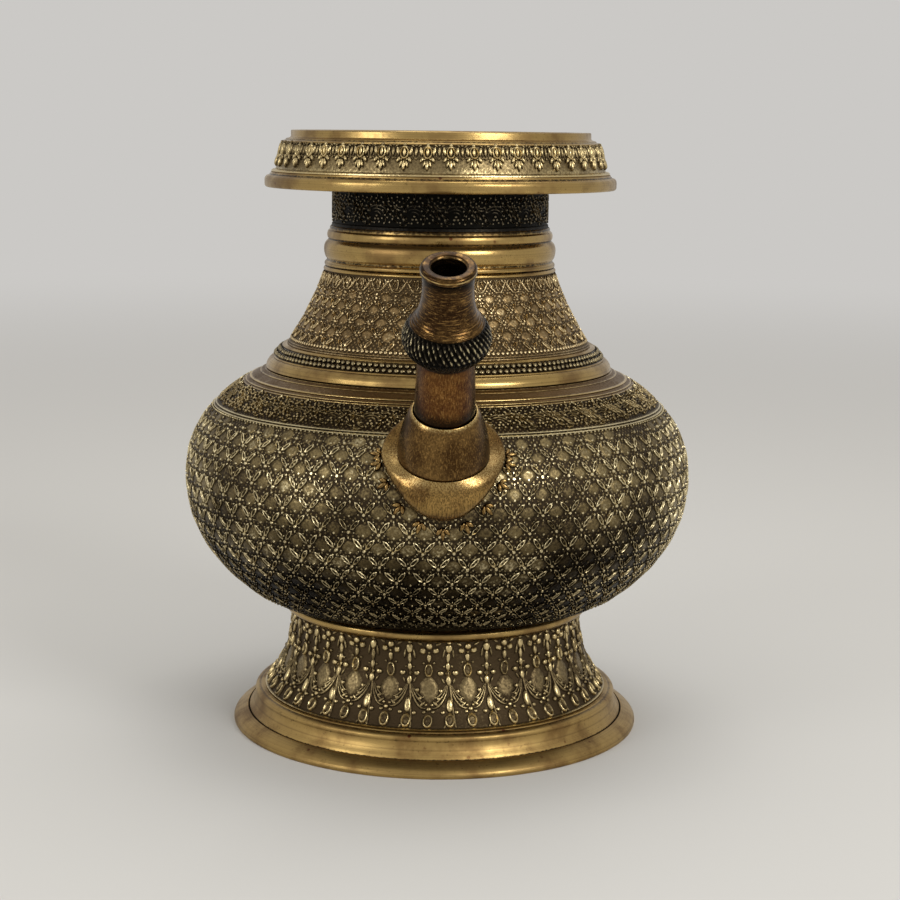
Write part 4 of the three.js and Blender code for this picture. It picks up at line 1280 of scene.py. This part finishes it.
def brushed_brass(name, bright, aged, deep, grain, streak):
    """Brass with a stretched grain, streaks of a given share, clouds, and gold and dark speckles."""
    material, node = new_material(name)
    place = spout_place(node)
    # Grain of 0.3 mm before it is stretched, clouds of patina 13 mm across and speckles of 0.6 mm
    drawn = node("Mapping", {"Vector": place, "Scale": grain})
    brush = node("TexNoise", {"Vector": drawn, "Scale": per_mm(0.3333), "Detail": 2.0})
    clouds = node("TexNoise", {"Vector": place, "Scale": per_mm(13.33), "Detail": 5.0, "Roughness": 0.62})
    specks = node("TexNoise", {"Vector": place, "Scale": per_mm(0.5882), "Detail": 3.0, "Roughness": 0.7})
    rubbed_and_sheen = node("Attribute", out="Fac", attribute_name="rubbed_and_sheen")
    golden = coats(node, "#D2BA80", ((brush, 0.38, 0.62), "#94703C"))
    colour = coats(node, bright,
                   ((clouds, 0.36, 0.62), aged),
                   ((brush, 0.42, 0.66, 0, streak), deep),
                   ((specks, 0.4, 0.62, 0.3, 0.0), deep),
                   ((specks, 0.56, 0.68, 0, 0.2), "#C7A468"),
                   ((brush, 0.46, 0.3, 0, streak), "#A9844C"),
                   # Gold where hands rub, which on the spout is also painted highlight, and painted light in the bore.
                   ((rubbed_and_sheen, 0.2, 0.9, 0, 0.9), golden),
                   # Dark dirt in the grooves, and a painted shadow at the foot of the spout's cup.
                   (dirt_and_shade(node, specks), "#1B140D"))
    roughness = node("MapRange", (clouds, 0.35, 0.7, 0.2, 0.34), **EASED)
    return brass_surface(material, node, colour, roughness, brush, 0.05, 0.5)


# One brass in three copies: the boss is lighter as painted light, the tube darker as painted shade, and the cup in
# between.
shaded_tube_brass = brushed_brass("brushed_brass_red_shaded", "#845A2E", "#54301A", "#24150D", ALONG, 0.42)
half_lit_cup_brass = brushed_brass("brushed_brass_brown_half_lit", "#83653A", "#51391E", "#261A0F", ALONG, 0.4)
lit_boss_brass = brushed_brass("brushed_brass_gold_lit", "#A9884F", "#6B4E2B", "#2E2013", ALONG_BOSS, 0.6)
nozzle_brass = brushed_brass("ringed_brass_red", "#755730", "#412C19", "#1C130C", ROUND_AXIS, 0.6)

# %% Give every piece its finish
finishes = [
    ("brass_polished", polished, "foot_bead_ring shoulder_bead_ring neck_collar_ring"),
    ("brass_polished", polished, "rim_dish rim_flange_ring rim_lip_ring"),
    ("brass_polished", satin, "foot_rim_ring foot_flange"),
    ("brass_chased", chased, "belly_lower belly_upper"),
    ("brass_chased", chased_cone, "shoulder_cone"),
    ("brass_chased", chased_high, "foot_skirt rim_frieze_band"),
    ("brass_dark", neck_dark, "neck_tube"),
    ("brass_dark", knop_brass, "spout_knop"),
    ("brass_spout", lit_boss_brass, "spout_boss"),
    ("brass_spout", half_lit_cup_brass, "spout_socket"),
    ("brass_spout", shaded_tube_brass, "spout_tube"),
    ("brass_spout", nozzle_brass, "spout_nozzle spout_lip_ring"),
]
for slot_name, material, names in finishes:
    for name in names.split():
        piece = pieces[name]
        piece.data.materials.clear()
        piece.data.materials.append(material)
        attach(piece, "root")
        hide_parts(name)
print("finished:", len(pieces), "pieces in", len(finishes), "finishes")

# %% [markdown]
# ## Floor, light and camera
# A wide pale floor and a plain pale world stand in for a studio. Far from the vase the floor fades to
# the world's own tone, so that no horizon shows in the picture or in the metal. Two large soft
# lamps, one at each front corner, give the broad highlights that the mouldings show, and a third
# lights the top.

# %% Stage and lamps
BACKDROP = "#CBC9C6"
deselect()
bpy.ops.mesh.primitive_plane_add(size=14)
floor = bpy.context.object
floor.name = "floor"
paper, node = new_material("studio_floor_paper")
paper_colour = coats(node, "#D1CFCA", ((node("TexNoise", {"Scale": 3.0}), 0.3, 0.7), "#CCCAC5"))
paper_shader = node("BsdfPrincipled", {"Base Color": paper_colour, "Roughness": 0.9})
far_off = node("VectorMath", (node("TexCoord", out="Object"),), "Value", operation="LENGTH")
camera_ray, glossy_ray, clear_ray = (node("LightPath", out=f"Is {kind} Ray")
                                     for kind in ("Camera", "Glossy", "Transmission"))
seen = node("Math", (camera_ray, glossy_ray), operation="MAXIMUM")
seen = node("Math", (seen, clear_ray), operation="MAXIMUM")
fade = node("Math", (seen, node("MapRange", (far_off, 0.3, 2.4), **EASED)), operation="MULTIPLY")
glow = node("Emission", {"Color": BACKDROP})
node("OutputMaterial", {"Surface": node("MixShader", (fade, paper_shader, glow))})
floor.data.materials.append(paper)
floor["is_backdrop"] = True

world = bpy.data.worlds.new("studio")
bpy.context.scene.world = world
world.use_nodes = True
world.node_tree.nodes["Background"].inputs["Color"].default_value = linear(BACKDROP)
world.node_tree.nodes["Background"].inputs["Strength"].default_value = 1.0


def soft_lamp(name, place, size, power):
    """A square area lamp that faces the middle of the vase."""
    deselect()
    bpy.ops.object.light_add(type="AREA", location=place)
    lamp = bpy.context.object
    lamp.name = name
    lamp.data.size = size
    lamp.data.energy = power
    aim = Vector((0, 0, TOP_Z / 2 * MM)) - Vector(place)
    lamp.rotation_euler = aim.to_track_quat("-Z", "Y").to_euler()


soft_lamp("key_right", (0.75, -0.95, 0.75), 0.5, 7.5)
soft_lamp("fill_left", (-1.0, -0.7, 0.55), 0.5, 3.5)
soft_lamp("top_soft", (0.1, 0.25, 1.3), 0.8, 4)

# %% [markdown]
# The camera stands where the photographer stood, worked out from the ellipses of the rings: 770 mm
# from the axis and 243 mm up, looking slightly down, with a very small roll.

# %% Camera
CAMERA_TURN = math.radians(1.3)
CAMERA_FAR, CAMERA_HIGH = 770.4, 243.2
CAMERA_PITCH, CAMERA_ROLL = math.radians(9.70), math.radians(0.67)
deselect()
bpy.ops.object.camera_add(location=(-CAMERA_FAR * math.sin(CAMERA_TURN) * MM,
                                    (AXIS_Y - CAMERA_FAR * math.cos(CAMERA_TURN)) * MM, CAMERA_HIGH * MM))
camera = bpy.context.object
camera.name = "photo_camera"
level = math.cos(CAMERA_PITCH)
look = Vector((math.sin(CAMERA_TURN) * level, math.cos(CAMERA_TURN) * level, -math.sin(CAMERA_PITCH)))
camera.rotation_mode = "QUATERNION"
camera.rotation_quaternion = look.to_track_quat("-Z", "Y") @ Quaternion((0, 0, 1), CAMERA_ROLL)
camera.data.sensor_width = 36
camera.data.lens = 76.5
camera.data.shift_x = 0.01397  # the vase stands a little left of the photo's middle
bpy.context.scene.camera = camera
bpy.context.scene.view_settings.view_transform = "Standard"

# %% Measure the two boxes and finish
visual_low, visual_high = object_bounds()
for box, low, high in (("CAD", cad_low, cad_high), ("visual", visual_low, visual_high)):
    print(box, "box", [round(v / MM, 1) for v in high - low], "mm")
